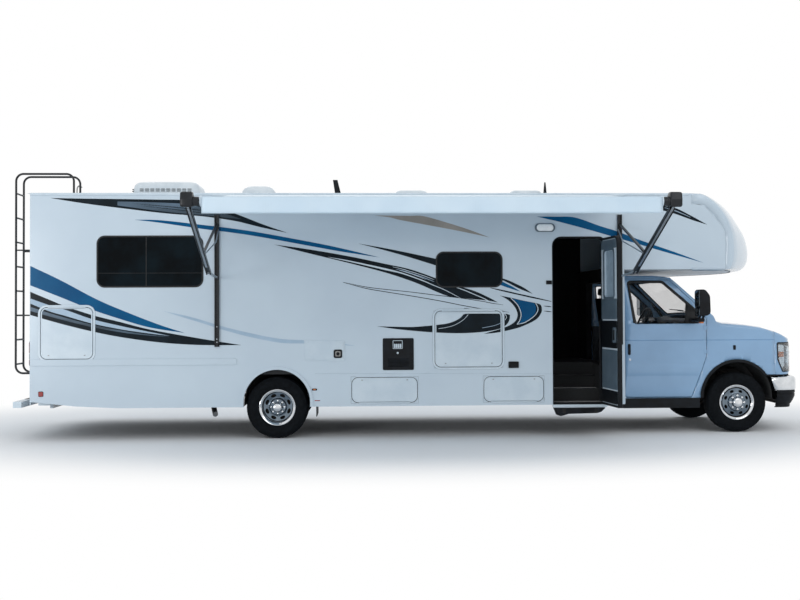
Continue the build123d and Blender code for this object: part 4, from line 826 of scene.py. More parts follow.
# Each stripe is an upper and a lower edge between two tips, as (along, height).
STRIPES = {
    "rear_wedge": (vinyl_black, [
        (-2700, 2903), (-2286, 2896), (-1870, 2891), (-1394, 2884), (-1096, 2877), (-857, 2831),
        (-498, 2716), (-175, 2589), (138, 2480)], [
        (-2700, 2903), (-2286, 2837), (-1870, 2783), (-1394, 2725), (-1096, 2699), (-857, 2679),
        (-498, 2626), (-175, 2547), (138, 2480)]),
    "fine_blue": (vinyl_blue, [
        (-1692, 2642), (-1394, 2636), (-917, 2583), (-319, 2505), (402, 2373), (764, 2298),
        (1247, 2182)], [
        (-1692, 2641), (-1394, 2605), (-917, 2535), (-319, 2454), (402, 2323), (764, 2257),
        (1247, 2182)]),
    "long_band": (vinyl_black, [
        (-31, 2342), (402, 2280), (884, 2195), (1308, 2105), (1605, 2040), (1903, 1936),
        (2066, 1870), (2256, 1815), (2391, 1774), (2500, 1726), (2609, 1672), (2679, 1632)], [
        (-31, 2342), (300, 2256), (884, 2112), (1307, 2000), (1577, 1912), (1753, 1844),
        (1889, 1783), (2011, 1732), (2120, 1700), (2309, 1680), (2554, 1655), (2679, 1632)]),
    "upper_black": (vinyl_black, [
        (988, 2352), (1308, 2295), (1579, 2240), (1904, 2169), (1986, 2147)], [
        (988, 2351), (1308, 2268), (1579, 2191), (1904, 2090), (1986, 2066)]),
    "taupe_wing": (vinyl_taupe, [
        (1189, 2692), (1371, 2690), (1613, 2687), (1784, 2682), (2100, 2593), (2343, 2514),
        (2587, 2422)], [
        (1189, 2691), (1371, 2667), (1492, 2637), (1856, 2569), (2099, 2524), (2343, 2475),
        (2587, 2422)]),
    "forward_black": (vinyl_black, [
        (2660, 1944), (2726, 1928), (2815, 1898), (2910, 1854), (3005, 1806), (3107, 1734)], [
        (2660, 1922), (2726, 1906), (2815, 1865), (2896, 1821), (2978, 1783), (3107, 1734)]),
    "forward_blue": (vinyl_blue, [
        (2640, 1900), (2719, 1890), (2801, 1852), (2882, 1810), (2950, 1766)], [
        (2640, 1880), (2719, 1841), (2801, 1811), (2869, 1789), (2950, 1764)]),
    "rear_blue": (vinyl_blue, [
        (-2930, 2090), (-2580, 1921), (-2142, 1686), (-1751, 1517), (-1394, 1377), (-1097, 1280)], [
        (-2930, 1858), (-2579, 1718), (-2225, 1573), (-1869, 1452), (-1513, 1348), (-1097, 1280)]),
    "rear_black": (vinyl_black, [
        (-2930, 1782), (-2697, 1682), (-2508, 1604), (-2201, 1501), (-1869, 1416), (-1513, 1324),
        (-918, 1213), (-429, 1132)], [
        (-2930, 1504), (-2579, 1401), (-2224, 1310), (-1869, 1236), (-1394, 1168), (-918, 1135),
        (-429, 1131)]),
    "pale_streak": (vinyl_pale, [
        (-1359, 1545), (-1097, 1490), (-918, 1441), (-620, 1350), (-321, 1276), (39, 1204),
        (327, 1186)], [
        (-1359, 1545), (-1097, 1460), (-918, 1405), (-620, 1308), (-321, 1228), (39, 1156),
        (327, 1146)]),
    "pale_tail": (vinyl_pale, [(820, 1136), (870, 1128), (941, 1118)], [
        (820, 1124), (870, 1118), (941, 1117)]),
    "overcab_blue": (vinyl_blue, [
        (3164, 2678), (3398, 2676), (3631, 2666), (3939, 2561), (4136, 2500), (4431, 2389),
        (4678, 2303), (4925, 2217), (5222, 2106)], [
        (3164, 2677), (3299, 2645), (3447, 2611), (3815, 2512), (4123, 2423), (4431, 2334),
        (4678, 2260), (4925, 2190), (5222, 2106)]),
    "overcab_dark": (vinyl_black, [
        (4720, 2812), (4887, 2776), (5080, 2680), (5262, 2580)], [
        (4720, 2752), (4887, 2704), (5080, 2634), (5262, 2578)]),
    "crescent": (vinyl_black, [
        (1210, 1349), (1467, 1342), (1629, 1339), (1792, 1349), (1927, 1362), (2063, 1380),
        (2158, 1412), (2226, 1452), (2270, 1493), (2400, 1498), (2689, 1496), (2790, 1492)], [
        (1210, 1348), (1467, 1311), (1791, 1279), (1927, 1270), (2117, 1261), (2307, 1262),
        (2497, 1275), (2647, 1299), (2743, 1331), (2798, 1379), (2822, 1430), (2824, 1480)]),
    "drop": (vinyl_black, [
        (2704, 1715), (2827, 1691), (2960, 1660), (3073, 1636), (3195, 1606), (3217, 1540),
        (3203, 1493), (3160, 1435), (3071, 1381), (2948, 1330), (2838, 1300), (2715, 1274),
        (2606, 1258), (2504, 1251)], [
        (2704, 1715), (2772, 1681), (2834, 1634), (2881, 1580), (2911, 1521), (2918, 1474),
        (2902, 1420), (2866, 1382), (2811, 1349), (2743, 1323), (2661, 1296), (2579, 1275),
        (2504, 1251)]),
    "thin_line_a": (vinyl_black, *pin_line([
        (799, 1884), (1075, 1826), (1306, 1796), (1604, 1764), (1902, 1726), (2200, 1690),
        (2472, 1649), (2608, 1622), (2745, 1602)], 8)),
    "thin_line_b": (vinyl_black, *pin_line([
        (799, 1882), (1075, 1808), (1306, 1767), (1712, 1700), (1983, 1651), (2254, 1596),
        (2472, 1557), (2662, 1535), (2812, 1512)], 9)),
    "door_line": (vinyl_black, *pin_line([
        (2589, 1809), (2746, 1773), (2937, 1729), (3128, 1686), (3334, 1641)], 18)),
    "short_line_a": (vinyl_black, *pin_line([(3240, 1586), (3300, 1580), (3334, 1575)], 12)),
    "short_line_b": (vinyl_black, *pin_line([(3240, 1525), (3300, 1519), (3334, 1515)], 11)),
    "short_line_c": (vinyl_black, *pin_line([(2265, 1563), (2309, 1558), (2383, 1547)], 13)),
}
# Films laid over the first ones, such as the silver fade and the blue heart of the drop.
OVERLAYS = {
    "silver_fade": (vinyl_pale, [
        (-2928, 1700), (-2697, 1618), (-2508, 1562), (-2201, 1452), (-1869, 1370), (-1632, 1319),
        (-1275, 1245)], [
        (-2928, 1640), (-2697, 1545), (-2508, 1490), (-2201, 1400), (-1869, 1330), (-1632, 1292),
        (-1275, 1245)]),
    "lower_fade": (vinyl_grey, [
        (-2928, 1600), (-2579, 1487), (-2224, 1392), (-1869, 1316), (-1632, 1278), (-1275, 1232)], [
        (-2928, 1552), (-2579, 1452), (-2224, 1362), (-1869, 1294), (-1632, 1262), (-1275, 1232)]),
    "blue_drop": (vinyl_blue, [
        (2854, 1680), (2936, 1662), (3018, 1647), (3114, 1624), (3141, 1581), (3143, 1527),
        (3112, 1473), (3057, 1426), (2989, 1389), (2927, 1368)], [
        (2854, 1680), (2909, 1629), (2942, 1575), (2965, 1514), (2970, 1473), (2965, 1433),
        (2951, 1399), (2927, 1368)]),
    "drop_pin_line": (vinyl_white, *edge_line([
        (2838, 1683), (2888, 1637), (2930, 1582), (2957, 1514), (2959, 1460), (2941, 1406),
        (2911, 1365)], 9)),
    "drop_outer_line": (vinyl_white, *edge_line([
        (3141, 1619), (3162, 1581), (3168, 1538), (3140, 1484), (3085, 1435), (3003, 1386),
        (2911, 1365)], 9)),
    "crescent_pin_line": (vinyl_white, *edge_line([
        (2315, 1487), (2274, 1439), (2212, 1393), (2131, 1353), (2036, 1329), (1954, 1318)], 5)),
    "crescent_lower_line": (vinyl_pale, *edge_line([
        (2484, 1324), (2566, 1337), (2648, 1356), (2709, 1380)], 5)),
    "crescent_front_line": (vinyl_white, *edge_line([
        (2755, 1495), (2777, 1472), (2782, 1447), (2765, 1417)], 6)),
    "band_pin_line": (vinyl_white, *edge_line([
        (2174, 1818), (2283, 1777), (2391, 1731), (2500, 1684), (2581, 1641)], 9)),
    "band_lower_line": (vinyl_white, [
        (620, 2190), (884, 2144), (1308, 2052), (1510, 1999), (1753, 1911), (1903, 1845),
        (2011, 1800), (2092, 1759), (2173, 1716), (2228, 1684)], [
        (620, 2188), (884, 2130), (1308, 2030), (1510, 1984), (1753, 1899), (1903, 1836),
        (2011, 1792), (2092, 1752), (2173, 1710), (2228, 1682)]),
    "band_fan_a": (vinyl_white, *pin_line([
        (1400, 2069), (1510, 2043), (1605, 2014), (1713, 1980), (1821, 1943), (1903, 1911)], 7)),
    "band_fan_b": (vinyl_pale, *pin_line([
        (1440, 2040), (1560, 2010), (1680, 1970), (1800, 1928), (1903, 1886)], 8)),
    "band_fan_c": (vinyl_white, *pin_line([
        (1480, 2026), (1600, 1992), (1700, 1956), (1800, 1915)], 6)),
    "wedge_heart": (vinyl_grey, [
        (-1900, 2862), (-1394, 2848), (-1096, 2830), (-857, 2780), (-640, 2722), (-420, 2650)], [
        (-1900, 2814), (-1394, 2746), (-1096, 2716), (-857, 2696), (-640, 2670), (-420, 2648)]),
    "wedge_line_a": (vinyl_pale, *pin_line([
        (-1700, 2836), (-1300, 2800), (-1000, 2768), (-760, 2724)], 7)),
    "wedge_line_b": (vinyl_pale, *pin_line([
        (-1600, 2808), (-1300, 2774), (-1000, 2738), (-820, 2716)], 6)),
    "overcab_light": (vinyl_pale, *pin_line([(4740, 2786), (4887, 2742), (5060, 2668)], 9)),
}


def film(edges, side, lift):
    """A stripe as a strip of faces between its smoothed edges, on the given wall."""
    count = 64

    def spread(line):
        lengths = [0.0]
        for a, b in zip(line, line[1:]):
            lengths.append(lengths[-1] + (Vector(b) - Vector(a)).length)
        spots, k = [], 0
        for step in range(count + 1):
            want = lengths[-1] * step / count
            while k < len(line) - 2 and lengths[k + 1] < want:
                k += 1
            part = (want - lengths[k]) / max(lengths[k + 1] - lengths[k], 1e-9)
            spots.append(Vector(line[k]).lerp(Vector(line[k + 1]), min(max(part, 0), 1)))
        return spots

    bm = bmesh.new()
    loops = [[put("y", side * lift, *p) for p in spread(flowing(edge, 8))] for edge in edges]
    sheet(bm, loops)
    bmesh.ops.remove_doubles(bm, verts=bm.verts, dist=0.5 * MM)
    bmesh.ops.recalc_face_normals(bm, faces=bm.faces)
    if bm.faces and bm.faces[:][0].normal.y * side < 0:
        bmesh.ops.reverse_faces(bm, faces=bm.faces)
    return bm


DOOR_PROUD = 3                       # how far a locker door stands out of the wall


def locker_body(name, word):
    """The body that a locker's door turns with."""
    return {"rear": f"rear_locker_{word}_body", "dinette": "dinette_locker_body",
            "middle_skirt": f"middle_skirt_{word}_body",
            "front_skirt": "front_skirt_right_body"}[name]


def door_corner(edge):
    """Corner radius of a locker's opening: the tall doors are tighter than the skirt doors."""
    return 76 if edge == "top" else 84


def cut_at(bm, span):
    """Takes the part of a film that lies on a locker door off the wall's film."""
    x0, x1, z0, z1, edge = span
    inset = 8
    radius = door_corner(edge) - inset
    left, right, low, high = x0 + inset, x1 - inset, z0 + inset, z1 - inset
    planes = [((x, 0), (1, 0)) for x in (x0, left, right, x1)]
    planes += [((0, z), (0, 1)) for z in (z0, low, high, z1)]
    for (x, z), middle in zip(box(left + radius, right - radius, low + radius, high - radius),
                              (225, 315, 45, 135)):
        for turn in (-30, 0, 30):
            a = radians(middle + turn)
            way = (cos(a), sin(a))
            planes.append(((x + way[0] * radius, z + way[1] * radius), way))
    for (x, z), (a, b) in planes:
        bmesh.ops.bisect_plane(bm, geom=bm.verts[:] + bm.edges[:] + bm.faces[:], dist=1e-6,
                               plane_co=(x * MM, 0, z * MM), plane_no=(a, 0, b))

    def outside_door(x, z):
        if not (left < x < right and low < z < high):
            return True
        near_x = min(max(x, left + radius), right - radius)
        near_z = min(max(z, low + radius), high - radius)
        return hypot(x - near_x, z - near_z) > radius + 1

    part = bm.copy()
    centres = [face.calc_center_median() / MM for face in bm.faces]
    for whole, goes in ((bm, [x0 < c.x < x1 and z0 < c.z < z1 for c in centres]),
                        (part, [outside_door(c.x, c.z) for c in centres])):
        bmesh.ops.delete(whole, geom=[face for face, gone in zip(whole.faces[:], goes) if gone],
                         context="FACES")
    return part if part.faces else None


def lay(films, layer, side, word):
    """Lays a set of films on one wall, the parts on locker doors riding with the doors."""
    for name, (material, *edges) in films.items():
        bm = film(edges, side, WALL + 0.5 + layer * 0.4)
        for locker, span in LOCKERS.items():
            part = cut_at(bm, span) if side < 0 or locker in ON_LEFT else None
            if part:
                for vert in part.verts:
                    vert.co.y += side * DOOR_PROUD * MM
                piece(f"{name}_{locker}_{word}", part, material,
                      locker_body(locker, word), flat=True)
        if bm.faces:
            piece(f"{name}_{word}", bm, material, flat=True)


for side, word in ((-1, "right"), (1, "left")):
    lay(STRIPES, 0, side, word)
    lay(OVERLAYS, 1, side, word)
# ------------------------------------------------------------- overcab nose moulding

ROOF_EDGE, ROOF_CROWN = 2960, 95
SEAM_X, NOSE_UNDER = 5073, 2029
SEAM_RUN = [(5190, 2826), (5260, 2788), (5340, 2698), (5400, 2628), (5451, 2556), (5482, 2480),
            (5490, 2400), (5488, 2250)]


def crown_height(y):
    """Height of the roof skin at a sideways place."""
    radius = (WALL ** 2 + ROOF_CROWN ** 2) / (2 * ROOF_CROWN)
    return ROOF_EDGE + sqrt(radius * radius - y * y) - (radius - ROOF_CROWN)


def nose_moulding():
    """The bowed nose over the cab: a gelcoat shell with cheeks that run back to the side walls."""
    middle = flowing([
        (SEAM_X, 3055), (5260, 3050), (5450, 3022), (5640, 2960), (5800, 2866), (5912, 2750),
        (6012, 2612), (6105, 2470), (6146, 2320), (6152, 2220), (6128, 2125), (6062, 2058),
        (5950, 2031), (5600, NOSE_UNDER), (SEAM_X, NOSE_UNDER)], 4)
    cheek = flowing([
        (SEAM_X, 2960), (5150, 2955), (5240, 2925), (5330, 2868), (5410, 2790), (5478, 2700),
        (5532, 2600), (5572, 2480), (5592, 2350), (5594, 2240), (5582, 2140), (5552, 2062),
        (5510, 2032), (5400, NOSE_UNDER), (SEAM_X, NOSE_UNDER)], 4)
    seam = flowing([
        (SEAM_X, 2960), (SEAM_X, 2910), (5082, 2834), *SEAM_RUN, (5486, 2110),
        (5485, 2034), (5400, NOSE_UNDER), (SEAM_X, NOSE_UNDER)], 4)
    heart = Vector((5200, 2450))
    brow = []
    for x, z in cheek:
        out = Vector((x, z)) + (Vector((x, z)) - heart).normalized() * 20
        brow.append((max(out.x, SEAM_X), min(max(out.y, NOSE_UNDER), ROOF_EDGE)))
    rows = []
    steps = 48
    for k in range(steps + 1):
        turn = pi * (k / steps - 0.5)
        y = WALL * sin(turn)
        share = abs(y) / WALL
        bow = cos(share * pi / 2)
        arch = (crown_height(y) - ROOF_EDGE) / ROOF_CROWN
        edge = max(share - 0.93, 0) / 0.07
        edge = 1 - sqrt(max(1 - edge * edge, 0))
        row_points = []
        for (xc, zc), (xb, zb), (xs, zs) in zip(middle, brow, cheek):
            x, z = xb + (xc - xb) * bow, zb + (zc - zb) * arch
            row_points.append(mm(x + (xs - x) * edge, y, z + (zs - z) * edge))
        rows.append(row_points)
    left = [mm(x, WALL - 0.6, z) for x, z in seam]
    low = [mm(x, 0.6 - WALL, z) for x, z in seam]
    bm = bmesh.new()
    sheet(bm, [low] + rows + [left])
    bmesh.ops.remove_doubles(bm, verts=bm.verts, dist=0.3 * MM)
    bmesh.ops.dissolve_degenerate(bm, edges=bm.edges, dist=0.3 * MM)
    bmesh.ops.recalc_face_normals(bm, faces=bm.faces)
    front = max(bm.faces, key=lambda face: face.calc_center_median().x)
    if front.normal.x < 0:
        bmesh.ops.reverse_faces(bm, faces=bm.faces)
    made = piece("overcab_nose_shell", bm, gelcoat, stands_for=("front_cap",),
                 crease=50, flat=True)
    wall = made.modifiers.new("laminate", "SOLIDIFY")
    wall.thickness = 20 * MM
    wall.offset = -1


nose_moulding()

# Moulded storage boxes behind the skirt doors, in the near-black lining that is painted shade.
bm = bmesh.new()
for side, name in ((-1, "middle_skirt"), (-1, "front_skirt"), (1, "middle_skirt")):
    x0, x1, z0, z1, _ = LOCKERS[name]
    shell = oblong(x0 - 16, x1 + 16, z0 - 16, z1 + 16, 24)
    hoop(bm, shell, oblong(x0 - 8, x1 + 8, z0 - 8, z1 + 8, 16), "y", side * 1219, side * 790)
    slab(bm, shell, "y", side * 788, side * 796)
piece("storage_boxes", bm, shade_lining, bevel=1)

# Pale board that closes the nose from below. The strip of dark rubber along its edge is painted
# shade: the shadow line under the nose's edge.
bm = bmesh.new()
edge = [(5470 + 440 * cos(pi / 2 * abs(k) / 12), 1240 * k / 12) for k in range(-12, 13)]
inner = [(5470 + 428 * cos(pi / 2 * abs(k) / 12), 1226 * k / 12) for k in range(-12, 13)]
slab(bm, [(4240, 1240), (4240, -1240)] + edge, "z", 2024, 2031)
sheet(bm, [[mm(x, y, z) for x, y in line]
           for line, z in ((edge, 2024.5), (edge, 2020), (inner, 2020), (inner, 2024.5))], 1)
for side in (-1, 1):
    bar(bm, (4240, 5470), sorted((side * 1226, side * 1242)), (2020, 2024.5), 1)
piece("overcab_underboard", bm, [white_abs, rubber], bevel=1)

# Painted shade: a near-black sheet on the far side wall, facing the entry, stands for the unlit
# room seen through the doorway.
bm = bmesh.new()
slab(bm, oblong(3290, 4224, 640, 2700, 12, 3), "y", 1206, 1214)
piece("entry_side_painted_shade_sheet", bm, shade_lining, bevel=1)

# Trim strip over the joint of the nose and the walls, and along the roof edges.
bm = bmesh.new()
for side in (-1, 1):
    bead = [(SEAM_X, 2900), (5078, 2836), *SEAM_RUN, (5486, 2036)]
    pipe(bm, [(x, side * (WALL - 1), z) for x, z in flowing(bead, 5)], 3.2, 8)
    pipe(bm, [(-2928, side * (WALL + 1), 2950), (4900, side * (WALL + 1), 2950),
              (5040, side * (WALL + 1), 2950)], 9, 8, squash=1.6)
piece("joint_trim", bm, white_powder)

# ------------------------------------------------------------------------- awning

ROLLER_Y, ROLLER_Z, ROLLER_R = -3530, 2625, 45
RAIL_Y, RAIL_Z = -1284, 2941
CLOTH = 1.2                          # thickness of the canvas
CLOTH_X = (-565, 4033)
AWNING_X = (-585, 4053)
ARM_X = (-715, 4177)
ELBOW = (-2000, 1980)

# Woven acrylic canvas with a vinyl face: pale, with a fine warp-and-weft relief. Its pale blue is
# painted shade and sky light on white canvas.
THREADS = 8                          # millimetres between the threads that show
canvas, tree = bare_material("coated_awning_canvas")
place = add(tree, "ShaderNodeTexCoord").outputs["Object"]
warp, weft = (add(tree, "ShaderNodeTexWave", {
    "Vector": place, "Scale": 1 / (THREADS * MM) / 6.283, "Distortion": 0.4},
    bands_direction=way) for way in "XY")
weave = add(tree, "ShaderNodeMath", {0: warp.outputs["Fac"], 1: weft.outputs["Fac"]},
            operation="MAXIMUM")
cloud = add(tree, "ShaderNodeTexNoise", {"Vector": place, "Scale": 2.2, "Detail": 4.0})
shade = add(tree, "ShaderNodeMapRange", {
    "Value": cloud.outputs["Fac"], "From Min": 0.35, "From Max": 0.65})
colour = mixed(tree, shade.outputs[0], linear("BCCFDD"), linear("C4D5E1"))
colour = mixed(tree, 0.08, colour, weave.outputs[0], "MULTIPLY")
bump = add(tree, "ShaderNodeBump", {"Height": weave, "Distance": 0.25 * MM, "Strength": 0.6})
dull = add(tree, "ShaderNodeMapRange", {"Value": weave, "To Min": 0.62, "To Max": 0.5})
thin = add(tree, "ShaderNodeBsdfPrincipled", {
    "Base Color": colour, "Roughness": dull, "Normal": bump, "Sheen Weight": 0.15})
add(tree, "ShaderNodeOutputMaterial", {"Surface": thin})


def cloth(name, loops, stands_for=()):
    """A sheet of canvas between lines of points, facing up or outboard, with its thickness."""
    bm = bmesh.new()
    sheet(bm, loops)
    bmesh.ops.recalc_face_normals(bm, faces=bm.faces)
    if bm.faces[:][0].normal.z - bm.faces[:][0].normal.y < 0:
        bmesh.ops.reverse_faces(bm, faces=bm.faces)
    made = piece(name, bm, canvas, stands_for=stands_for, flat=True)
    made.modifiers.new("cloth_thickness", "SOLIDIFY").thickness = CLOTH * MM
    return made


def canopy():
    """The canopy: one sheet from the wall rail over the roller, slack by a few centimetres."""
    across, along = 34, 60
    loops = []
    for i in range(along + 1):
        x = CLOTH_X[0] + (CLOTH_X[1] - CLOTH_X[0]) * i / along
        line = []
        for j in range(across + 1):
            t = j / across
            y = RAIL_Y + (ROLLER_Y - RAIL_Y) * t
            z = RAIL_Z + (ROLLER_Z + ROLLER_R + 2 - RAIL_Z) * t
            slack = 22 * sin(pi * t) * (0.75 + 0.25 * sin(pi * i / along))
            ripple = 2.5 * sin(2 * pi * x / 620) * sin(pi * t) ** 2
            line.append(mm(x, y, z - slack + ripple))
        for angle in (20, 45, 70, 90):
            a = radians(angle)
            line.append(mm(x, ROLLER_Y - (ROLLER_R + 2) * sin(a),
                           ROLLER_Z + (ROLLER_R + 2) * cos(a)))
        loops.append(line)
    return cloth("awning_canopy", loops, stands_for=("awning_fabric",))


def valance():
    """The straight valance that hangs from the roller."""
    loops = []
    for i in range(121):
        x = CLOTH_X[0] + (CLOTH_X[1] - CLOTH_X[0]) * i / 120
        line = []
        for j in range(9):
            t = j / 8
            wave = 2.2 * t * sin(2 * pi * x / 410) + 1.2 * t * sin(x / 37)
            line.append(mm(x, ROLLER_Y - ROLLER_R - 3.5 - wave, 2668 - 168 * t))
        loops.append(line)
    return cloth("awning_valance", loops)


canopy_piece = canopy()
valance_piece = valance()

bm = bmesh.new()
for z in (2504, 2512):
    pipe(bm, [(x, ROLLER_Y - ROLLER_R - 4.6 - 2.0 * sin(2 * pi * x / 410), z)
              for x in range(CLOTH_X[0] + 5, CLOTH_X[1] - 4, 26)], 1.1, 5)
hem_piece = piece("awning_hem", bm, canvas)


def arm_set(x, inward):
    """One awning arm: wall channel, link, hinged main arm with inner slide, strut, gas strut."""
    black, bright = bmesh.new(), bmesh.new()
    half = 28
    outline = [(x - half, -WALL), (x - half, -WALL - 30), (x - half + 14, -WALL - 30),
               (x - half + 14, -WALL - 12), (x + half - 14, -WALL - 12),
               (x + half - 14, -WALL - 30), (x + half, -WALL - 30), (x + half, -WALL)]
    slab(black, outline, "z", 1120, 2700)
    slab(black, [(x - half, -WALL), (x - half, -WALL - 30), (x + half, -WALL - 30),
                 (x + half, -WALL)], "z", 1112, 1150)
    for z in (1168, 1205, 1352):
        turned(bright, [(12, 0), (12, 9), (15, 8), (16, 5), (16, 0)], (x, -WALL, z), "y", -1, 16)
    elbow = Vector((x, ELBOW[0], ELBOW[1]))
    tip = Vector((x, ROLLER_Y + 30, ROLLER_Z - 30))
    run = (tip - elbow).normalized()
    wide = Vector((1, 0, 0))

    def beam(bm, start, end, width, depth, hollow=0):
        outline = box(-width / 2, width / 2, -depth / 2, depth / 2)
        if hollow:
            lip = width / 2 - hollow
            outline[3:3] = [(lip, depth / 2), (lip, depth / 2 - 12), (-lip, depth / 2 - 12),
                            (-lip, depth / 2)]
        way = (end - start).normalized()
        rise = wide.cross(way)
        skin(bm, [[(p + wide * a + rise * b) * MM for a, b in outline] for p in (start, end)])

    beam(black, elbow - run * 30, elbow + (tip - elbow) * 0.96, 55, 40, 14)
    beam(bright, elbow + (tip - elbow) * 0.1, tip, 24, 30)
    foot = Vector((x, -WALL - 16, 1940))
    beam(bright, elbow, foot, 30, 20)
    knee = elbow + (tip - elbow) * 0.292
    beam(black, knee, Vector((x, -WALL - 14, 2586)), 26, 24)
    pipe(bright, [tuple(knee + Vector((inward * 20, 0, 0))), (x + inward * 20, -1500, 2360),
                  (x + inward * 20, -WALL - 20, 2520)], 8, 10)
    for spot, reach in ((elbow, 34), (foot, 24), (knee, 24), (Vector((x, -WALL - 16, 2586)), 24)):
        turned(bright, [(-reach, 0), (-reach, 8), (-reach + 3, 11), (reach - 3, 11), (reach, 8),
                        (reach, 0)], spot, "x", 1, 16)
    return black, bright


def head(bm, x, inward):
    """The cast and moulded roller head: a rounded box with a spindle and a front cap."""
    outline = rounded([(-3588, 2562), (-3462, 2574), (-3458, 2690), (-3500, 2722), (-3578, 2716),
                       (-3592, 2640)], 22)
    centre = Vector((ROLLER_Y, 2640))
    loops = []
    for depth, share in ((-62, 0.82), (-58, 0.94), (-48, 1.0), (40, 1.0), (54, 0.95), (60, 0.86)):
        loops.append([put("x", x - inward * depth, *(centre + (Vector(p) - centre) * share))
                      for p in outline])
    skin(bm, loops)
    turned(bm, [(0, 50), (18, 50), (22, 47), (60, 46), (62, 30), (62, 0)],
           (x + inward * 58, ROLLER_Y, ROLLER_Z), "x", inward, 24)


for name, x, inward in (("rear", ARM_X[0], 1), ("front", ARM_X[1], -1)):
    black, bright = arm_set(x, inward)
    head(black, x, inward)
    piece(f"awning_arm_{name}", black, black_anodised,
          stands_for=("awning_arms",), bevel=2.5)
    piece(f"awning_arm_slide_{name}", bright, aluminium, bevel=1.2)

bm = bmesh.new()
profile = [(-WALL, 2926), (-WALL - 8, 2926), (-WALL - 15, 2934), (-WALL - 16, 2950),
           (-WALL - 8, 2958), (-WALL, 2958)]
slab(bm, profile, "x", AWNING_X[0] - 190, AWNING_X[1] + 190)
row(bm, screw_head(5, 3), white_powder, 24, (-700, -WALL - 12, 2958), (205, 0, 0))
rail_piece = piece("awning_rail", bm, white_powder, bevel=1.0)

bm = bmesh.new()
turned(bm, [(0, 20), (0, 43), (4, 45), (4634, 45), (4638, 43), (4638, 20), (0, 20)],
       (AWNING_X[0], ROLLER_Y, ROLLER_Z), "x", 1, 40)
for x in (AWNING_X[0] + 2, AWNING_X[1] - 16):
    turned(bm, [(0, 20), (0, 52), (3, 55), (11, 55), (14, 52), (14, 20), (0, 20)],
           (x, ROLLER_Y, ROLLER_Z), "x", 1, 40)
roller_piece = piece("awning_roller_tube", bm, white_powder,
                     stands_for=("awning_roller",))

# ---------------------------------------------------------------- lockers, hatches


def locker(name, span, side, body, node):
    """A locker door with rounded corners, raised rim, latches and hinge, and its pale frame."""
    x0, x1, z0, z1, edge = span
    face = side * (WALL + 3)
    big = door_corner(edge)
    width = 24 if edge == "top" else 8
    frame_bm = bmesh.new()
    hoop(frame_bm, oblong(x0 - width, x1 + width, z0 - width, z1 + width, big + width, 8),
         oblong(x0, x1, z0, z1, big, 8), "y", side * (WALL - 20), side * (WALL + 5))
    if edge == "top":
        seam = width + 1.5
        hoop(frame_bm, oblong(x0 - seam, x1 + seam, z0 - seam, z1 + seam, big + seam, 8),
             oblong(x0 - width, x1 + width, z0 - width, z1 + width, big + width, 8), "y",
             side * (WALL - 2), side * (WALL + 1.5), 2)
    hoop(frame_bm, oblong(x0, x1, z0, z1, big, 8), oblong(x0 + 26, x1 - 26, z0 + 26, z1 - 26,
                                                          big - 26, 8), "y",
         side * (WALL - 44), side * (WALL - 34), 1)
    piece(f"{name}_frame", frame_bm, [white_powder, rubber, grey_laminate],
          bevel=1.0)
    door = bmesh.new()
    outer = oblong(x0 + 7, x1 - 7, z0 + 7, z1 - 7, big - 7, 8)
    slab(door, outer, "y", side * (WALL - 24), face)
    hoop(door, oblong(x0 + 9, x1 - 9, z0 + 9, z1 - 9, big - 9, 8),
         oblong(x0 + 22, x1 - 22, z0 + 22, z1 - 22, big - 22, 8), "y", face - side * 0.5,
         face + side * 1.6)
    tip = z1 if edge == "top" else z0
    inward = -1 if edge == "top" else 1
    axis_z = tip - inward * 6
    pipe(door, [(x0 + 90, side * (WALL + 6.3), axis_z), (x1 - 90, side * (WALL + 6.3), axis_z)],
         4.5, 12)
    slab(door, box(x0 + 90, x1 - 90, tip - inward * 4, tip + inward * 16), "y",
         face - side * 0.5, face + side * 1.6)
    low = z0 + 48 if edge == "top" else z1 - 36
    for share in (0.16, 0.84):
        x = x0 + share * (x1 - x0)
        slab(door, oblong(x - 14, x + 14, low - 9, low + 9, 8, 4), "y", face - side * 0.5,
             face + side * 3)
        slab(door, oblong(x - 9, x + 9, low - 4, low + 4, 3.5, 3), "y", face + side * 2.5,
             face + side * 5, material=1)
    piece(f"{name}_panel", door, [white_powder, steel], body, (node,), bevel=1.0)


for name, side, word, node in (("rear", -1, "right", "locker_door_rear_right"),
                               ("dinette", -1, "right", "locker_door_dinette"),
                               ("middle_skirt", -1, "right", "skirt_door_middle_right"),
                               ("front_skirt", -1, "right", "skirt_door_front_right"),
                               ("rear", 1, "left", "locker_door_rear_left"),
                               ("middle_skirt", 1, "left", "skirt_door_middle_left")):
    locker(f"{name}_locker_{word}", LOCKERS[name], side, locker_body(name, word), node)
# ------------------------------------------------------------------ entry, fittings

HINGE = Vector((3989, -1278.3, 0))
DOOR_TURN = (Matrix.Translation(HINGE * MM) @ Matrix.Rotation(radians(95), 4, "Z")
             @ Matrix.Translation(-HINGE * MM))
DOOR = (3365, 3976, 397, 2403)


def swung(bm):
    """Turns door geometry from its closed place to where it stands open."""
    bmesh.ops.transform(bm, matrix=DOOR_TURN, verts=bm.verts)
    return bm


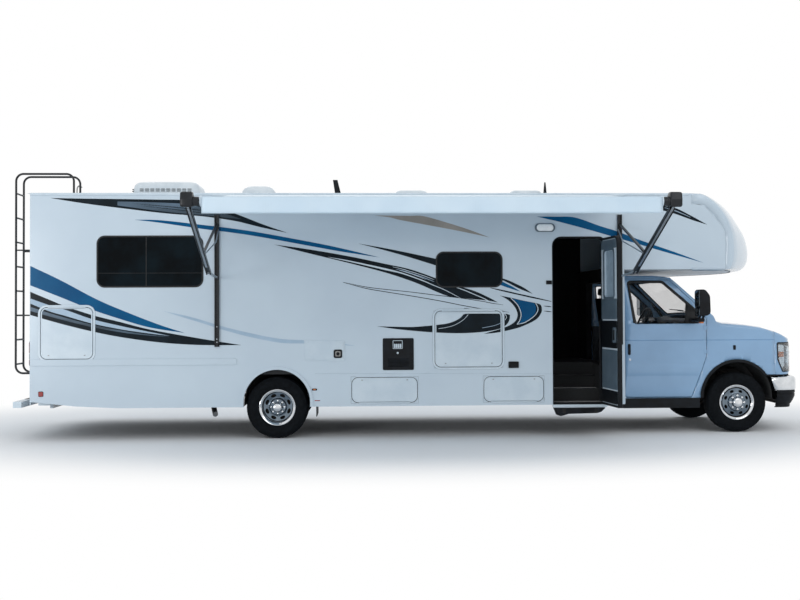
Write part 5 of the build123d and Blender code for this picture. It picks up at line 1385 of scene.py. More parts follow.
def entry_leaf():
    """Entry door leaf: white outer skin, black edge gasket, grey inner panels and lock."""
    x0, x1, z0, z1 = DOOR
    out_y, in_y = -1273, -1233
    leaf = bmesh.new()
    shape = oblong(x0, x1, z0, z1, [12, 12, 95, 95])
    pane = oblong(x0 + 130, x1 - 130, 1690, 2240, 45)
    hoop(leaf, shape, oblong(x0 + 130, x1 - 130, 1690, 2240, 45), "y", out_y, in_y + 6)
    rim = oblong(x0 - 3, x1 + 3, z0 - 3, z1 + 3, [12, 12, 98, 98])
    inner = oblong(x0 + 26, x1 - 26, z0 + 26, z1 - 26, [8, 8, 72, 72])
    hoop(leaf, rim, inner, "y", in_y - 4, in_y + 9, material=1)
    hoop(leaf, rim, shape, "y", out_y - 1, in_y, material=1)
    for low, high, shade in ((600, 1064, 2), (1424, 1668, 2), (2262, 2368, 2), (1084, 1408, 1),
                             (430, 584, 1)):
        slab(leaf, oblong(x0 + 34, x1 - 34, low, high, 14, 3), "y", in_y + 5, in_y + 12, shade)
    hoop(leaf, oblong(x0 + 104, x1 - 104, 1664, 2266, 60), pane, "y", in_y + 2, in_y + 15,
         material=2)
    hoop(leaf, oblong(x0 + 112, x1 - 112, 1672, 2258, 58), pane, "y", out_y - 6, out_y + 2,
         material=1)
    slab(leaf, oblong(x0 + 48, x0 + 128, 1150, 1330, 14, 4), "y", in_y + 10, in_y + 30, 2)
    slab(leaf, oblong(x0 + 62, x0 + 82, 1180, 1300, 8, 3), "y", in_y + 28, in_y + 42, 1)
    slab(leaf, oblong(x0 + 30, x0 + 112, 1150, 1310, 16, 4), "y", out_y - 14, out_y + 1, 1)
    pipe(leaf, [(x0 + 560, in_y + 12, 560), (x0 + 560, in_y + 40, 580), (x0 + 560, in_y + 40, 1400),
                (x0 + 560, in_y + 12, 1420)], 8, 10, material=1)
    for z in (600, 1350, 2150):
        turned(leaf, [(0, 0), (0, 8), (70, 8), (70, 0)], (HINGE.x, HINGE.y, z), "z", 1, 16, 3)
        slab(leaf, box(x1 - 40, HINGE.x, z + 5, z + 65),
             "y", out_y - 8, out_y - 5, 3)
        bar(leaf, (x1 - 40, x1 - 8), (out_y - 6, out_y + 0.5), (z + 5, z + 65), 3)
    piece("entry_door_leaf", swung(leaf), [white_powder, black_trim, grey_laminate, aluminium],
          "entry_door_body", ("entry_door",), bevel=1.5)
    glass = bmesh.new()
    slab(glass, oblong(x0 + 126, x1 - 126, 1686, 2244, 46), "y", -1257, -1251)
    piece("entry_door_pane", swung(glass), obscure_glass, "entry_door_body",
          bevel=0.8)


entry_leaf()

# Door surround: black gasket frame on the wall, jamb lining and the latch plate.
bm = bmesh.new()
x0, x1, z0, z1 = ENTRY
hoop(bm, oblong(x0 - 12, x1 + 4, z0 - 4, z1 + 22, [10, 4, 60, 112]),
     oblong(x0, x1 - 1, z0, z1, [6, 4, 88, 88]), "y", -INNER, -WALL - 7)
piece("entry_surround", bm, black_trim, bevel=2)

bm = bmesh.new()
slab(bm, oblong(-1264, -1236, 1178, 1322, 5, 3), "x", 3356.5, 3359.2)
for z in (1196, 1250, 1304):
    turned(bm, [(0, 7), (0.8, 6), (1.2, 0)], (3359.1, -1250, z), "x", 1, 12)
piece("entry_latch_plate", bm, steel, bevel=0.5)

# Stairwell: carpeted treads and risers, black nosings, and side linings whose near black is painted
# shade.
bm = bmesh.new()
rear, front = ENTRY[:2]
for k, (edge, tread) in enumerate(((-1220, 405), (-985, 560), (-770, 715))):
    depth = 235 if k < 2 else 110
    slab(bm, box(rear + 2, front - 2, edge, edge + depth), "z", tread - 15, tread, 0)
    slab(bm, box(rear + 2, front - 2, tread, tread + 155), "y", edge + depth - 6, edge + depth, 0)
    slab(bm, box(rear + 4, front - 4, tread - 16, tread + 3), "y", edge - 2, edge + 38, 1)
for x in (rear, front - 12):
    slab(bm, box(-1220, -660, 390, 850), "x", x, x + 12, 2)
piece("entry_stairwell", bm, [carpet, black_trim, shade_lining],
      stands_for=("entry_steps",), bevel=2)

bm = bmesh.new()
slab(bm, rounded([(3345, 352), (3990, 352), (4040, 388), (3334, 388)], [10, 10, 3, 3], 3), "y",
     -1300, -1262, 0)
casing = rounded([(3352, 350), (3984, 350), (3930, 300), (3880, 284), (3520, 276), (3430, 250),
                  (3388, 262)], [4, 4, 16, 20, 20, 16, 16], 3)
loops = []
for along, share in ((-1226, 1.0), (-1310, 1.0), (-1322, 0.985), (-1326, 0.95)):
    loops.append([put("y", along, 3668 + (x - 3668) * share, 320 + (z - 320) * share)
                  for x, z in casing])
skin(bm, loops, 1)
groove = bmesh.new()
slab(groove, [(-1322, 0), (-1332, 4), (-1332, 9), (-1322, 12)], "x", 3440, 3900)
row(bm, groove, black_trim, 3, (0, 0, 294), (0, 0, 17), 1)
for x in (3470, 3860):
    slab(bm, oblong(x - 16, x + 16, 286, 340, 8, 3), "y", -1320, -1334, 2)
piece("entry_step_board", bm, [white_powder, black_trim, chassis], bevel=2)

# Service point, furnace cover, power outlet, switch and porch lamp.
bm = bmesh.new()
x0, x1, z0, z1 = 334, 817, 937, 1179
raised(bm, -1, oblong(x0, x1, z0, z1, 26), 0, 6)
raised(bm, -1, oblong(x0 + 16, x1 - 16, z0 + 16, z1 - 16, 18), 5, 10)
hoop(bm, oblong(683, 787, 968, 1072, 22), oblong(703, 767, 988, 1052, 14), "y", -WALL - 8,
     -WALL - 16, 1)
raised(bm, -1, oblong(702, 768, 987, 1053, 14), 8, 13, 2)
turned(bm, [(0, 21), (5, 21), (7, 18), (7, 7), (2, 6), (2, 0)], (735, -WALL - 12, 1020), "y", -1,
       24, 1)
for x in (360, 790):
    for z in (960, 1156):
        turned(bm, [(0, 5), (2, 4), (2.6, 0)], (x, -WALL - 10, z), "y", -1, 10)
piece("service_point_cover", bm, [white_powder, black_trim, steel],
      stands_for=("service_hatches",), bevel=1.2)

bm = bmesh.new()
x0, x1, z0, z1 = 1276, 1651, 819, 1204
raised(bm, -1, oblong(x0, x1, z0, z1, 14), 0, 8)
hoop(bm, oblong(x0 + 10, x1 - 10, z0 + 10, z1 - 10, 10),
     oblong(x0 + 22, x1 - 22, z0 + 22, z1 - 22, 8), "y", -WALL - 7, -WALL - 12)
louvre = bmesh.new()
slab(louvre, [(-WALL - 8, 0), (-WALL - 13, 3), (-WALL - 8, 9)], "x", x0 + 60, x1 - 60)
row(bm, louvre, black_trim, 7, (0, 0, z0 + 40), (0, 0, 15))
hoop(bm, oblong(1398, 1516, 1076, 1178, 8), oblong(1404, 1510, 1082, 1172, 6), "y", -WALL - 7,
     -WALL - 12, 1)
raised(bm, -1, oblong(1403, 1511, 1146, 1173, 4), 7, 11, 0)
slat = bmesh.new()
raised(slat, -1, oblong(-9, 9, 0, 50, 4, 3), 7, 13)
row(bm, slat, steel, 4, (1422, 0, 1086), (23.5, 0, 0), 1)
turned(bm, [(0, 13), (4, 12), (6, 0)], (1457, -WALL - 8, 1026), "y", -1, 16, 1)
piece("furnace_cover", bm, [black_trim, white_powder], bevel=0.8)

bm = bmesh.new()
raised(bm, -1, oblong(2803, 2927, 835, 914, 8), 0, 16)
raised(bm, -1, oblong(2811, 2919, 843, 906, 6), 15, 20)
raised(bm, -1, oblong(3269, 3340, 1849, 1897, 6), 0, 9)
raised(bm, -1, oblong(3281, 3328, 1859, 1888, 4), 8, 12)
piece("outlet_and_switch", bm, black_trim, bevel=1)

bm = bmesh.new()
base = oblong(3134, 3384, 2489, 2593, 50, 8)
middle = Vector((3259, 2541))
for layers, shade in ((((1.0, 0), (1.0, 12), (0.94, 16)), 2),
                      (((0.78, 12), (0.82, 26), (0.74, 36), (0.5, 43), (0.2, 45)), 1)):
    skin(bm, [[put("y", -WALL - out_y, *(middle + (Vector(p) - middle) * share)) for p in base]
              for share, out_y in layers], shade)
piece("porch_lamp", bm, [white_abs, opal, grey_laminate], bevel=0.8)

# Raised belt moulding at the rear, seam line of the skirt and flares of the rear arches.
FLARE_RADIUS, FLARE_Z = 400, 433
bm = bmesh.new()
for side in (-1, 1):
    belt = oblong(-2925, -480, 895, 972, [2, 30, 30, 2])
    raised(bm, side, belt, 0, 9)
    pipe(bm, [(458, side * (WALL + 0.6), 782), (1900, side * (WALL + 0.6), 774),
              (3330, side * (WALL + 0.6), 764)], 3.4, 6)
    loops = []
    for grow, out_y in ((36, 0), (33, 7), (22, 13), (8, 15), (0, 12), (0, -30)):
        reach = FLARE_RADIUS + grow
        line = [(reach * cos(pi * k / 32), FLARE_Z + reach * sin(pi * k / 32)) for k in range(33)]
        loops.append([put("y", side * (WALL + out_y), x, z)
                      for x, z in [(reach, 392)] + line + [(-reach, 392)]])
    sheet(bm, loops)
piece("wall_mouldings", bm, gelcoat, bevel=1.5)

# Lamps and reflectors on the skirts.
bm = bmesh.new()
for side in (-1, 1):
    for span in ((-2833, -2773, 527, 591), (420, 484, 578, 604)):
        x0, x1, z0, z1 = span
        tint = 1 if x0 < -1000 else 0
        raised(bm, side, oblong(x0, x1, z0, z1, 13), 0, 5, 2)
        edge = 5 if tint else 18
        raised(bm, side, oblong(x0 + edge, x1 - edge, z0 + 5, z1 - 5, 8), 4, 11, tint)
    raised(bm, side, oblong(452, 520, 452, 462, 4, 3), 0, 3, 1)
piece("side_marker_lamps", bm, [amber, red, black_trim], bevel=2.5)
# ------------------------------------------------------------------------ cab body

CAB = 1000                           # half of the cab's greatest width
CAB_REAR = 4232
ARCH_Z, ARCH_RADIUS = 450, 460       # the front wheel arches
HOOD_EDGE = 734                      # half of the hood's width
FENDER_TOP = [(5395, 1440), (5512, 1368), (5847, 1338), (6034, 1310), (6200, 1262), (6330, 1218),
              (6400, 1190), (6460, 1190), (6600, 1190)]
HOOD_TOP = [(5482, 1436), (5650, 1376), (5790, 1366), (6000, 1342), (6200, 1310), (6350, 1262),
            (6438, 1200)]
SHOULDER = 42


def between(line, x):
    """Height of a line of points at x."""
    for (a, p), (b, q) in zip(line, line[1:]):
        if x <= b:
            return p + (q - p) * max(x - a, 0) / (b - a)
    return line[-1][1]


def lean(z):
    """How far the cab's side stands in from its widest line at a height."""
    upper = max(z - 1290, 0) / 650
    lower = max(880 - z, 0) / 450
    brow = max(z - 1880, 0) / 85
    crease = 5 * max(1 - abs(z - 1153) / 5, 0)
    rib = 4 * min(max(min(z - 716, 852 - z), 0) / 10, 1)
    return 90 * upper ** 1.3 + 26 * lower ** 2 + 42 * brow ** 2 + crease - rib


def draped(bm, outline, holes, us, vs, place, material=0):
    """A flat outline with holes, cut along a grid and laid on a curved surface."""
    flat = bmesh.new()
    edges = []
    for line in [outline] + list(holes):
        corners = [flat.verts.new((u, v, 0)) for u, v in line]
        edges += [flat.edges.new((corners[k - 1], corner)) for k, corner in enumerate(corners)]
    bmesh.ops.triangle_fill(flat, use_beauty=True, edges=edges)
    for normal, cuts in ((Vector((1, 0, 0)), us), (Vector((0, 1, 0)), vs)):
        for cut in cuts:
            bmesh.ops.bisect_plane(flat, geom=flat.verts[:] + flat.edges[:] + flat.faces[:],
                                   dist=0.01, plane_co=normal * cut, plane_no=normal)
    made = {v: bm.verts.new(place(v.co.x, v.co.y)) for v in flat.verts}
    for face in flat.faces:
        bm.faces.new([made[v] for v in face.verts]).material_index = material
    flat.free()


def walled(name, bm, materials, thickness, heart, body="vehicle", stands_for=()):
    """Turns an open sheet outwards from a heart point and gives it a wall inwards."""
    bmesh.ops.remove_doubles(bm, verts=bm.verts, dist=0.3 * MM)
    bmesh.ops.recalc_face_normals(bm, faces=bm.faces)
    middle = Vector(heart) * MM
    unseen = dict.fromkeys(bm.faces)
    while unseen:
        island, queue = [], [unseen.popitem()[0]]
        while queue:
            island.append(queue.pop())
            for other in (f for edge in island[-1].edges for f in edge.link_faces):
                if other in unseen:
                    del unseen[other]
                    queue.append(other)
        facing = sum((f.calc_center_median() - middle).dot(f.normal) * f.calc_area()
                     for f in island)
        if facing < 0:
            bmesh.ops.reverse_faces(bm, faces=island)
    made = piece(name, bm, materials, body, stands_for, flat=True)
    wall = made.modifiers.new("wall", "SOLIDIFY")
    wall.thickness = thickness * MM
    wall.offset = -1


def panel(name, materials, thickness, heart, place, outline, holes=(), us=(), vs=(),
          body="vehicle", stands_for=()):
    """One draped sheet with its wall."""
    bm = bmesh.new()
    draped(bm, outline, holes, us, vs, place)
    walled(name, bm, materials, thickness, heart, body, stands_for)


def swell(outline, amount):
    """A closed outline moved outwards, or inwards where the amount is negative."""
    area = sum(a[0] * b[1] - b[0] * a[1] for a, b in zip(outline, outline[1:] + outline[:1]))
    turn = 1 if area > 0 else -1
    moved = []
    for k, point in enumerate(outline):
        before = (Vector(point) - Vector(outline[k - 1])).normalized()
        after = (Vector(outline[(k + 1) % len(outline)]) - Vector(point)).normalized()
        way = Vector((before.y + after.y, -before.x - after.x)) * turn
        moved.append(tuple(Vector(point) + way.normalized() * amount
                           / max(way.length / 2, 0.5)))
    return moved


def on_side(side, depth=0.0):
    """Places (x, z) on the cab's side, at a depth below its skin."""
    def place(x, z):
        return mm(x, side * (CAB - lean(z) - depth), z)
    return place


class Wrap:
    """A plan line round the vehicle's nose, walked by its length from the right-hand end."""

    def __init__(self, points):
        whole = points + [(x, -y) for x, y in reversed(points[:-1])]
        self.line = [Vector(p) for p in flowing([(x, y, 0) for x, y in whole], 8)]
        self.marks = [0.0]
        for a, b in zip(self.line, self.line[1:]):
            self.marks.append(self.marks[-1] + (b - a).length)
        self.length = self.marks[-1]

    def at(self, s):
        """The point at length s and the inward direction there."""
        s = min(max(s, 0), self.length)
        for k in range(len(self.line) - 1):
            if s <= self.marks[k + 1]:
                break
        span = self.marks[k + 1] - self.marks[k]
        share = (s - self.marks[k]) / span
        run = (self.line[k + 1] - self.line[k]).normalized()
        return self.line[k].lerp(self.line[k + 1], share), Vector((-run.y, run.x, 0))

    def reach(self, y):
        """Length along the line where it crosses y."""
        for k, (a, b) in enumerate(zip(self.line, self.line[1:])):
            if a.y <= y <= b.y:
                return self.marks[k] + (self.marks[k + 1] - self.marks[k]) * (y - a.y) / (b.y - a.y)
        return self.length


NOSE = Wrap([(6200, -1000), (6300, -989), (6368, -960), (6412, -908), (6438, -850), (6470, -650),
             (6500, -330), (6515, 0)])


def on_face(depth=0.0):
    """Places (s, z) on the nose panel, at a depth below its skin."""
    def place(s, z):
        point, inward = NOSE.at(s)
        back = 16 * (max(z - 960, 0) / 240) ** 2 + 8 * (max(790 - z, 0) / 75) ** 2
        share = min(s, NOSE.length - s) / 160
        ease = min(max(share, 0), 1)
        spot = point + inward * (back * ease + depth + (1 - ease) * (lean(z) if share < 1 else 0))
        return mm(spot.x, spot.y, z)
    return place


DOOR_LINE = rounded([(4310, 441), (5149, 441), (5331, 954), (5336, 1429), (5176, 1640),
                     (4893, 1908), (4790, 1928), (4310, 1928)],
                    [40, 30, 200, 60, 200, 60, 60, 24], 5)
PANE_LINE = rounded([(4362, 1892), (4800, 1892), (5206, 1530), (5238, 1362), (4426, 1358)],
                    [34, 60, 90, 14, 26], 5)
COLUMNS = [CAB_REAR, 4500, 4760, 5000, 5200] + list(range(5300, 6200, 60)) + [6200]
LEVELS = [455, 520, 580, 640, 700, 716, 726, 784, 842, 852, 880, 960, 1040, 1148, 1153, 1158,
          1240, 1290, 1350, 1410, 1480, 1560, 1640, 1720, 1800, 1860, 1890, 1915, 1940, 1955]

# Points inside the vehicle that a sheet's outer face looks away from.
SCREEN_HEART, LAMP_HEART, DOOR_HEART = (4600, 0, 1200), (6000, 0, 930), (4900, 0, 1100)
PANE_LEVELS, LAMP_LEVELS = [1480, 1640, 1800], [830, 908, 1000, 1060]

# Body sides: one pressing each from the house to the nose, with a rolled fender shoulder.


def arch_line(radius):
    """The line of a front wheel arch from its rear foot to where the bumper meets it."""
    start, end = radians(182), radians(35.5)
    turns = [start + (end - start) * k / 28 for k in range(29)]
    return [(WHEELBASE + radius * cos(a), ARCH_Z + radius * sin(a)) for a in turns]


arch = arch_line(ARCH_RADIUS)
top_edge = [(x, between(FENDER_TOP, x) - SHOULDER) for x in range(6200, 5470, -60)]
side_line = ([(CAB_REAR, 432), (5259, 432)] + arch + [(6200, 717)] + top_edge
             + [(5470, 1352), (5446, 1420), (5430, 1454), (4905, 1940), (4690, 1965),
                (CAB_REAR, 1965)])
bm = bmesh.new()
shut = swell(DOOR_LINE, 5.5)
for side in (-1, 1):
    draped(bm, side_line, [shut], COLUMNS, LEVELS, on_side(side))
    rows = []
    for x in [5400, 5440] + list(range(5480, 6200, 60)) + [6200]:
        edge = between(FENDER_TOP, x) - SHOULDER
        outer = CAB - lean(edge)
        row_points = []
        for k in range(7):
            a = radians(15 * k)
            row_points.append(mm(x, side * (outer - 64 * (1 - cos(a))),
                                 edge + SHOULDER * sin(a)))
        row_points.append(mm(x, side * 741, edge + SHOULDER + 6))
        row_points.append(mm(x, side * 738, edge + SHOULDER - 30))
        rows.append(row_points)
    sheet(bm, rows)
walled("cab_body_sides", bm, enamel, 14, (5200, 0, 1000), stands_for=("fenders",))

# Nose panel: wraps the front between the wheel arches, with the lamp and grille openings.
lamp_in = NOSE.reach(-610)
lamp_line = rounded([(34, 1116), (36, 908), (104, 752), (lamp_in, 776), (lamp_in, 1116)],
                    [16, 30, 18, 20, 26], 4)
grille_in = NOSE.reach(-545)
grille_line = oblong(grille_in, NOSE.length - grille_in, 776, 1116, 28)


def far_side(line):
    """An outline on the nose carried over to the left-hand side."""
    return [(NOSE.length - s, z) for s, z in reversed(line)]


def rim_height(s):
    """Height of the nose panel's rolled top edge."""
    return between(FENDER_TOP, NOSE.at(s)[0].x) - SHOULDER


stops = [NOSE.length * k / 60 for k in range(61)]
front_line = [(0, 717), (NOSE.length, 717)] + [(s, rim_height(s)) for s in reversed(stops)]
bm = bmesh.new()
draped(bm, front_line, [swell(lamp_line, 3), swell(far_side(lamp_line), 3), swell(grille_line, 3)],
       stops, [760, 830, 900, 960, 1020, 1080, 1120, 1150, 1156, 1190], on_face())
rows = []
for s in stops:
    point, inward = NOSE.at(s)
    edge = rim_height(s)
    base = on_face()(s, edge) / MM
    if abs(point.y) < 741:
        last = Vector((6433 - 36 * (point.y / HOOD_EDGE) ** 2, point.y, edge + SHOULDER + 2))
    else:
        last = Vector((base.x - 38 * max(1000 - abs(point.y), 0) / 259,
                       copysign(739, point.y), edge + SHOULDER + 2))
    roll = 60 if abs(point.y) > 800 else 28
    row_points = [base * MM]
    for k in range(1, 7):
        a = radians(15 * k)
        row_points.append((base + inward * roll * (1 - cos(a))
                           + Vector((0, 0, SHOULDER * sin(a)))) * MM)
    row_points.append(last * MM)
    row_points.append((last + Vector((0, 0, -30))) * MM)
    rows.append(row_points)
sheet(bm, rows)
walled("nose_panel", bm, enamel, 12, (6100, 0, 900), stands_for=("front_panel",))

# Hood: raised centre that falls to the fender line along both sides.
bm = bmesh.new()
rows = []
spots = [5482, 5520, 5580, 5650, 5720, 5790, 5900, 6000, 6100, 6200, 6280, 6350, 6400, 6425, 6438]
for x in spots:
    row_points = []
    for k in range(25):
        y = HOOD_EDGE * (k / 12 - 1)
        share = min(max((abs(y) - 470) / (HOOD_EDGE - 470), 0), 1)
        ease = share * share * (3 - 2 * share)
        low = between(FENDER_TOP, x) + 5
        high = between(HOOD_TOP, x) + 8 * (1 - (y / 470) ** 2 if abs(y) < 470 else 0)
        reach = x - 36 * (y / HOOD_EDGE) ** 2 * max(x - 6200, 0) / 238
        row_points.append(mm(reach, y, high + (min(low, high) - high) * ease))
    rows.append(row_points)
sheet(bm, rows)
walled("hood_panel", bm, enamel, 16, (5900, 0, 900), "hood_body", ("hood",))
bm = bmesh.new()
for side in (-1, 1):
    turned(bm, [(0, 0), (0, 7.6), (70, 7.6), (70, 0)], (5474.3, side * 575, 1395), "y", side, 16)
    bar(bm, (5474, 5505), (side * 582, side * 638), (1392, 1398))
    bar(bm, (5496, 5506), (side * 582, side * 638), (1392, 1412))
pipe(bm, [(6330, -300, 1228), (6330, -300, 1200), (6330, -260, 1188), (6330, 260, 1188),
          (6330, 300, 1200), (6330, 300, 1228)], 8, 8)
piece("hood_hinges_and_brace", bm, steel, "hood_body", bevel=1)

# Roof skin, windscreen surround and scuttle.
bm = bmesh.new()
rows = []
for x, z in ((CAB_REAR, 1965), (4500, 1966), (4690, 1965), (4800, 1955), (4880, 1944),
             (4905, 1940)):
    half = CAB - lean(min(z, 1965))
    rows.append([mm(x, half * k / 12, z + 16 * (1 - (k / 12) ** 2) * (1 if x < 4800 else 0.5))
                 for k in range(-12, 13)])
sheet(bm, rows)
walled("cab_roof_skin", bm, enamel, 14, (4600, 0, 1500))

SCREEN_TOP, SCREEN_BASE = Vector((4905, 0, 1940)), Vector((5430, 0, 1454))
SLOPE = (SCREEN_TOP - SCREEN_BASE).normalized()
SCREEN_RUN = (SCREEN_TOP - SCREEN_BASE).length
OUT = Vector((-SLOPE.z, 0, SLOPE.x)) * (1 if SLOPE.x > 0 else -1)


def on_screen(depth=0.0):
    """Places (y, distance up the windscreen) in its slightly bowed plane."""
    def place(y, up):
        bow = 20 * (1 - (y / 950) ** 2)
        spot = SCREEN_BASE + SLOPE * up + OUT * (bow - depth)
        return mm(spot.x, y, spot.z)
    return place


def half_width(up):
    return CAB - lean((SCREEN_BASE + SLOPE * up).z)


brim = [(-half_width(0), 0), (half_width(0), 0), (half_width(240), 240),
        (half_width(SCREEN_RUN), SCREEN_RUN), (-half_width(SCREEN_RUN), SCREEN_RUN),
        (-half_width(240), 240)]
screen_line = rounded([(-898, 34), (898, 34), (812, SCREEN_RUN - 52), (-812, SCREEN_RUN - 52)],
                      [40, 40, 70, 70])
bm = bmesh.new()
strips = [90 * k for k in range(-10, 11)]
draped(bm, brim, [screen_line], strips, [120, 240, 360, 480, 600], on_screen())
walled("windscreen_surround", bm, enamel, 30, SCREEN_HEART)
panel("windscreen_rubber", rubber, 14, SCREEN_HEART, on_screen(-3),
      swell(screen_line, 14), [swell(screen_line, -12)], strips, [240, 480])
panel("windscreen_pane", clear_glass, 6, SCREEN_HEART, on_screen(5),
      swell(screen_line, -4), [], strips, [120, 240, 360, 480, 600])

bm = bmesh.new()
rows = []
for x, z, half in ((5400, 1452, 960), (5424, 1452, 960), (5434, 1440, 960), (5439, 1424, 950),
                   (5445, 1396, 900), (5452, 1372, 735), (5484, 1370, 735), (5484, 1300, 735)):
    rows.append([mm(x, half * k / 16, z + 10 * (1 - (k / 16) ** 2))
                 for k in range(-16, 17)])
sheet(bm, rows)
walled("scuttle_panel", bm, black_trim, 8, (5300, 0, 1200))
bm = bmesh.new()
for side, tip in ((-1, -160), (-1, -820)):
    low = (5452, tip + 60, 1448)
    turned(bm, [(0, 20), (14, 20), (18, 12), (18, 0)], low, "z", 1, 16)
    reach = on_screen(-14)(tip + 560, 66) / MM
    mid = on_screen(-30)(tip + 250, 26) / MM
    pipe(bm, [low, tuple(mid), tuple(reach)], [7, 6, 4], 8)
    blade = [tuple(on_screen(-10)(y, 70 + (y - tip - 300) * 0.07) / MM)
             for y in range(tip + 300, tip + 801, 50)]
    pipe(bm, blade, 6, 8)
piece("wipers", bm, black_trim, bevel=0.8)

# Door seals in the openings: dark rubber behind the shut lines.
bm = bmesh.new()
for side in (-1, 1):
    draped(bm, swell(DOOR_LINE, 30), [swell(DOOR_LINE, -10)], [4500, 5000], LEVELS,
           on_side(side, 46))
walled("door_opening_seals", bm, rubber, 16, DOOR_HEART)

# Doors: pressed skins with the window rubber, sail, pane, handle and an inner card.
for side, name in ((-1, "right"), (1, "left")):
    body = f"cab_door_{name}_body"
    panel(f"cab_door_{name}_skin", enamel, 34, DOOR_HEART, on_side(side), DOOR_LINE,
          [PANE_LINE], COLUMNS[1:5] + [5300], LEVELS, body, (f"cab_door_{name}",))
    bm = bmesh.new()
    draped(bm, swell(PANE_LINE, 12), [swell(PANE_LINE, -17)], [], PANE_LEVELS, on_side(side, -5))
    sail = [(5064, 1360), (5238, 1362), (5208, 1528), (5092, 1636)]
    draped(bm, sail, [], [], [1480], on_side(side, -2))
    walled(f"cab_door_{name}_window_rubber", bm, rubber, 22, DOOR_HEART, body)
    panel(f"cab_door_{name}_pane", clear_glass, 5, DOOR_HEART, on_side(side, 12),
          swell(PANE_LINE, -4), [], [], PANE_LEVELS, body)
    bm = bmesh.new()
    draped(bm, oblong(4340, 4372, 974, 1110, 13, 4), [], [], [1040], on_side(side, -16))
    draped(bm, oblong(4344, 4368, 978, 1106, 10, 4), [], [], [1040], on_side(side, -4))
    walled(f"cab_door_{name}_handle", bm, black_trim, 14, (4900, 0, 1040), body)
    bm = bmesh.new()
    turned(bm, [(-4, 14), (3, 14), (5, 11), (5, 6), (3, 5), (3, 0)],
           (4366, side * (CAB - 3.5), 912), "y", side, 16)
    piece(f"cab_door_{name}_lock", bm, chrome, body)
    bm = bmesh.new()
    draped(bm, swell(rounded([(4310, 441), (5149, 441), (5331, 954), (5336, 1340), (4310, 1340)],
                             [40, 30, 200, 30, 20], 5), -36), [], COLUMNS[1:5], LEVELS,
           on_side(side, 42))
    draped(bm, oblong(4420, 5120, 560, 700, 40), [], [], [], on_side(side, 66))
    draped(bm, oblong(4460, 5160, 1060, 1130, 30), [], [], [1090], on_side(side, 84))
    walled(f"cab_door_{name}_card", bm, grey_vinyl, 18, (4900, side * 3000, 1000),
           body)
    bm = bmesh.new()
    for z in (980, 1280):
        turned(bm, [(0, 0), (0, 5.8), (60, 5.8), (60, 0)], (5342, side * 1006.3, z), "z", 1, 16)
        bar(bm, (5302, 5342), (side * 998, side * 1005), (z + 5, z + 55))
    piece(f"cab_door_{name}_hinges", bm, enamel, body, bevel=0.8)

    # Mirror: a tall moulded head on two arms, with its glass and a turn lamp below.
    bm = bmesh.new()
    head = rounded([(5110, 1447), (5250, 1466), (5242, 1706), (5186, 1780), (5110, 1778)],
                   [24, 50, 70, 50, 24], 5)
    skin(bm, [[mm(5180 + (x - 5180) * f, side * y, 1612 + (z - 1612) * f)
               for x, z in head]
              for y, f in ((1242, 0.86), (1246, 0.94), (1256, 0.985), (1276, 1.0), (1400, 1.0),
                           (1424, 0.98), (1436, 0.93), (1440, 0.85))])
    for x in (5150, 5196):
        pipe(bm, [(x, side * 985, 1396), (x + 2, side * 1060, 1404), (x + 4, side * 1180, 1408),
                  (x + 4, side * 1262, 1414), (x + 4, side * 1300, 1452)], [16, 14, 13, 14, 17], 10)
    slab(bm, rounded([(5112, 1366), (5232, 1368), (5226, 1420), (5112, 1432)], 18, 4), "y",
         side * 976, side * 1004)
    slab(bm, oblong(5138, 5214, 1384, 1430, 14, 4), "y", side * 1176, side * 1300)
    piece(f"door_mirror_{name}", bm, black_trim, body, (f"mirror_{name}",),
          bevel=3)
    bm = bmesh.new()
    across = sorted((side * 1256, side * 1426))
    slab(bm, oblong(*across, 1562, 1766, 26), "x", 5106.5, 5112)
    slab(bm, oblong(*across, 1462, 1548, 22), "x", 5106.5, 5112)
    piece(f"door_mirror_glass_{name}", bm, mirror_glass, body, bevel=0.8)
    bm = bmesh.new()
    slab(bm, oblong(5164, 5206, 1366, 1388, 9), "y", side * 1216, side * 1290)
    piece(f"door_mirror_turn_lamp_{name}", bm, amber, body, bevel=1.5)

# Side markers on the fenders and arch lips of black plastic.
bm = bmesh.new()
LIP_RADIUS = ARCH_RADIUS + 1
for side in (-1, 1):
    slab(bm, oblong(5672, 5704, 1030, 1088, 8, 4), "y", side * (CAB - 2), side * (CAB + 6))
    loops = []
    for grow, out_y in ((0, -4), (0, 7), (14, 9), (34, 7), (40, -6)):
        loops.append([mm(x, side * (CAB - lean(max(ARCH_Z + (z - ARCH_Z) * LIP_RADIUS
                                                   / (LIP_RADIUS - grow), 520)) + out_y), z)
                      for x, z in arch_line(LIP_RADIUS - grow)])
    sheet(bm, loops + [loops[0]])
    slab(bm, oblong(6092, 6250, 717, 700, 3), "y",
         side * 940, side * (CAB - 4))
piece("arch_lips", bm, black_trim, bevel=1)

# ---------------------------------------------------- front: grille, lamps, bumper

bm = bmesh.new()
grille_hole = oblong(grille_in + 34, NOSE.length - grille_in - 34, 810, 1082, 12)
draped(bm, swell(grille_line, -2), [grille_hole], stops, [860, 946, 1032], on_face(-6), 0)
walled("grille_surround", bm, chrome, 26, (6000, 0, 946), stands_for=("grille",))
bm = bmesh.new()
spans = [NOSE.length * k / 60 for k in range(61) if grille_in + 20 < NOSE.length * k / 60
         < NOSE.length - grille_in - 20]
for z in (828, 887, 946, 1005, 1064):
    rows = []
    for s in spans:
        rows.append([on_face(depth)(s, z + dz) for depth, dz in
                     ((8, -9), (3, -5), (2, 0), (3, 5), (8, 9), (34, 7), (34, -7))])
    skin(bm, rows)
piece("grille_bars", bm, black_trim, crease=50)
bm = bmesh.new()
rows = [[on_face(38)(s, z) for z in (790, 1102)] for s in spans]
sheet(bm, rows)
walled("grille_backing", bm, rubber, 4, (6000, 0, 946))
upright = bmesh.new()
slab(upright, box(-4, 4, 0, 20), "z", 0, 300)
bm = bmesh.new()
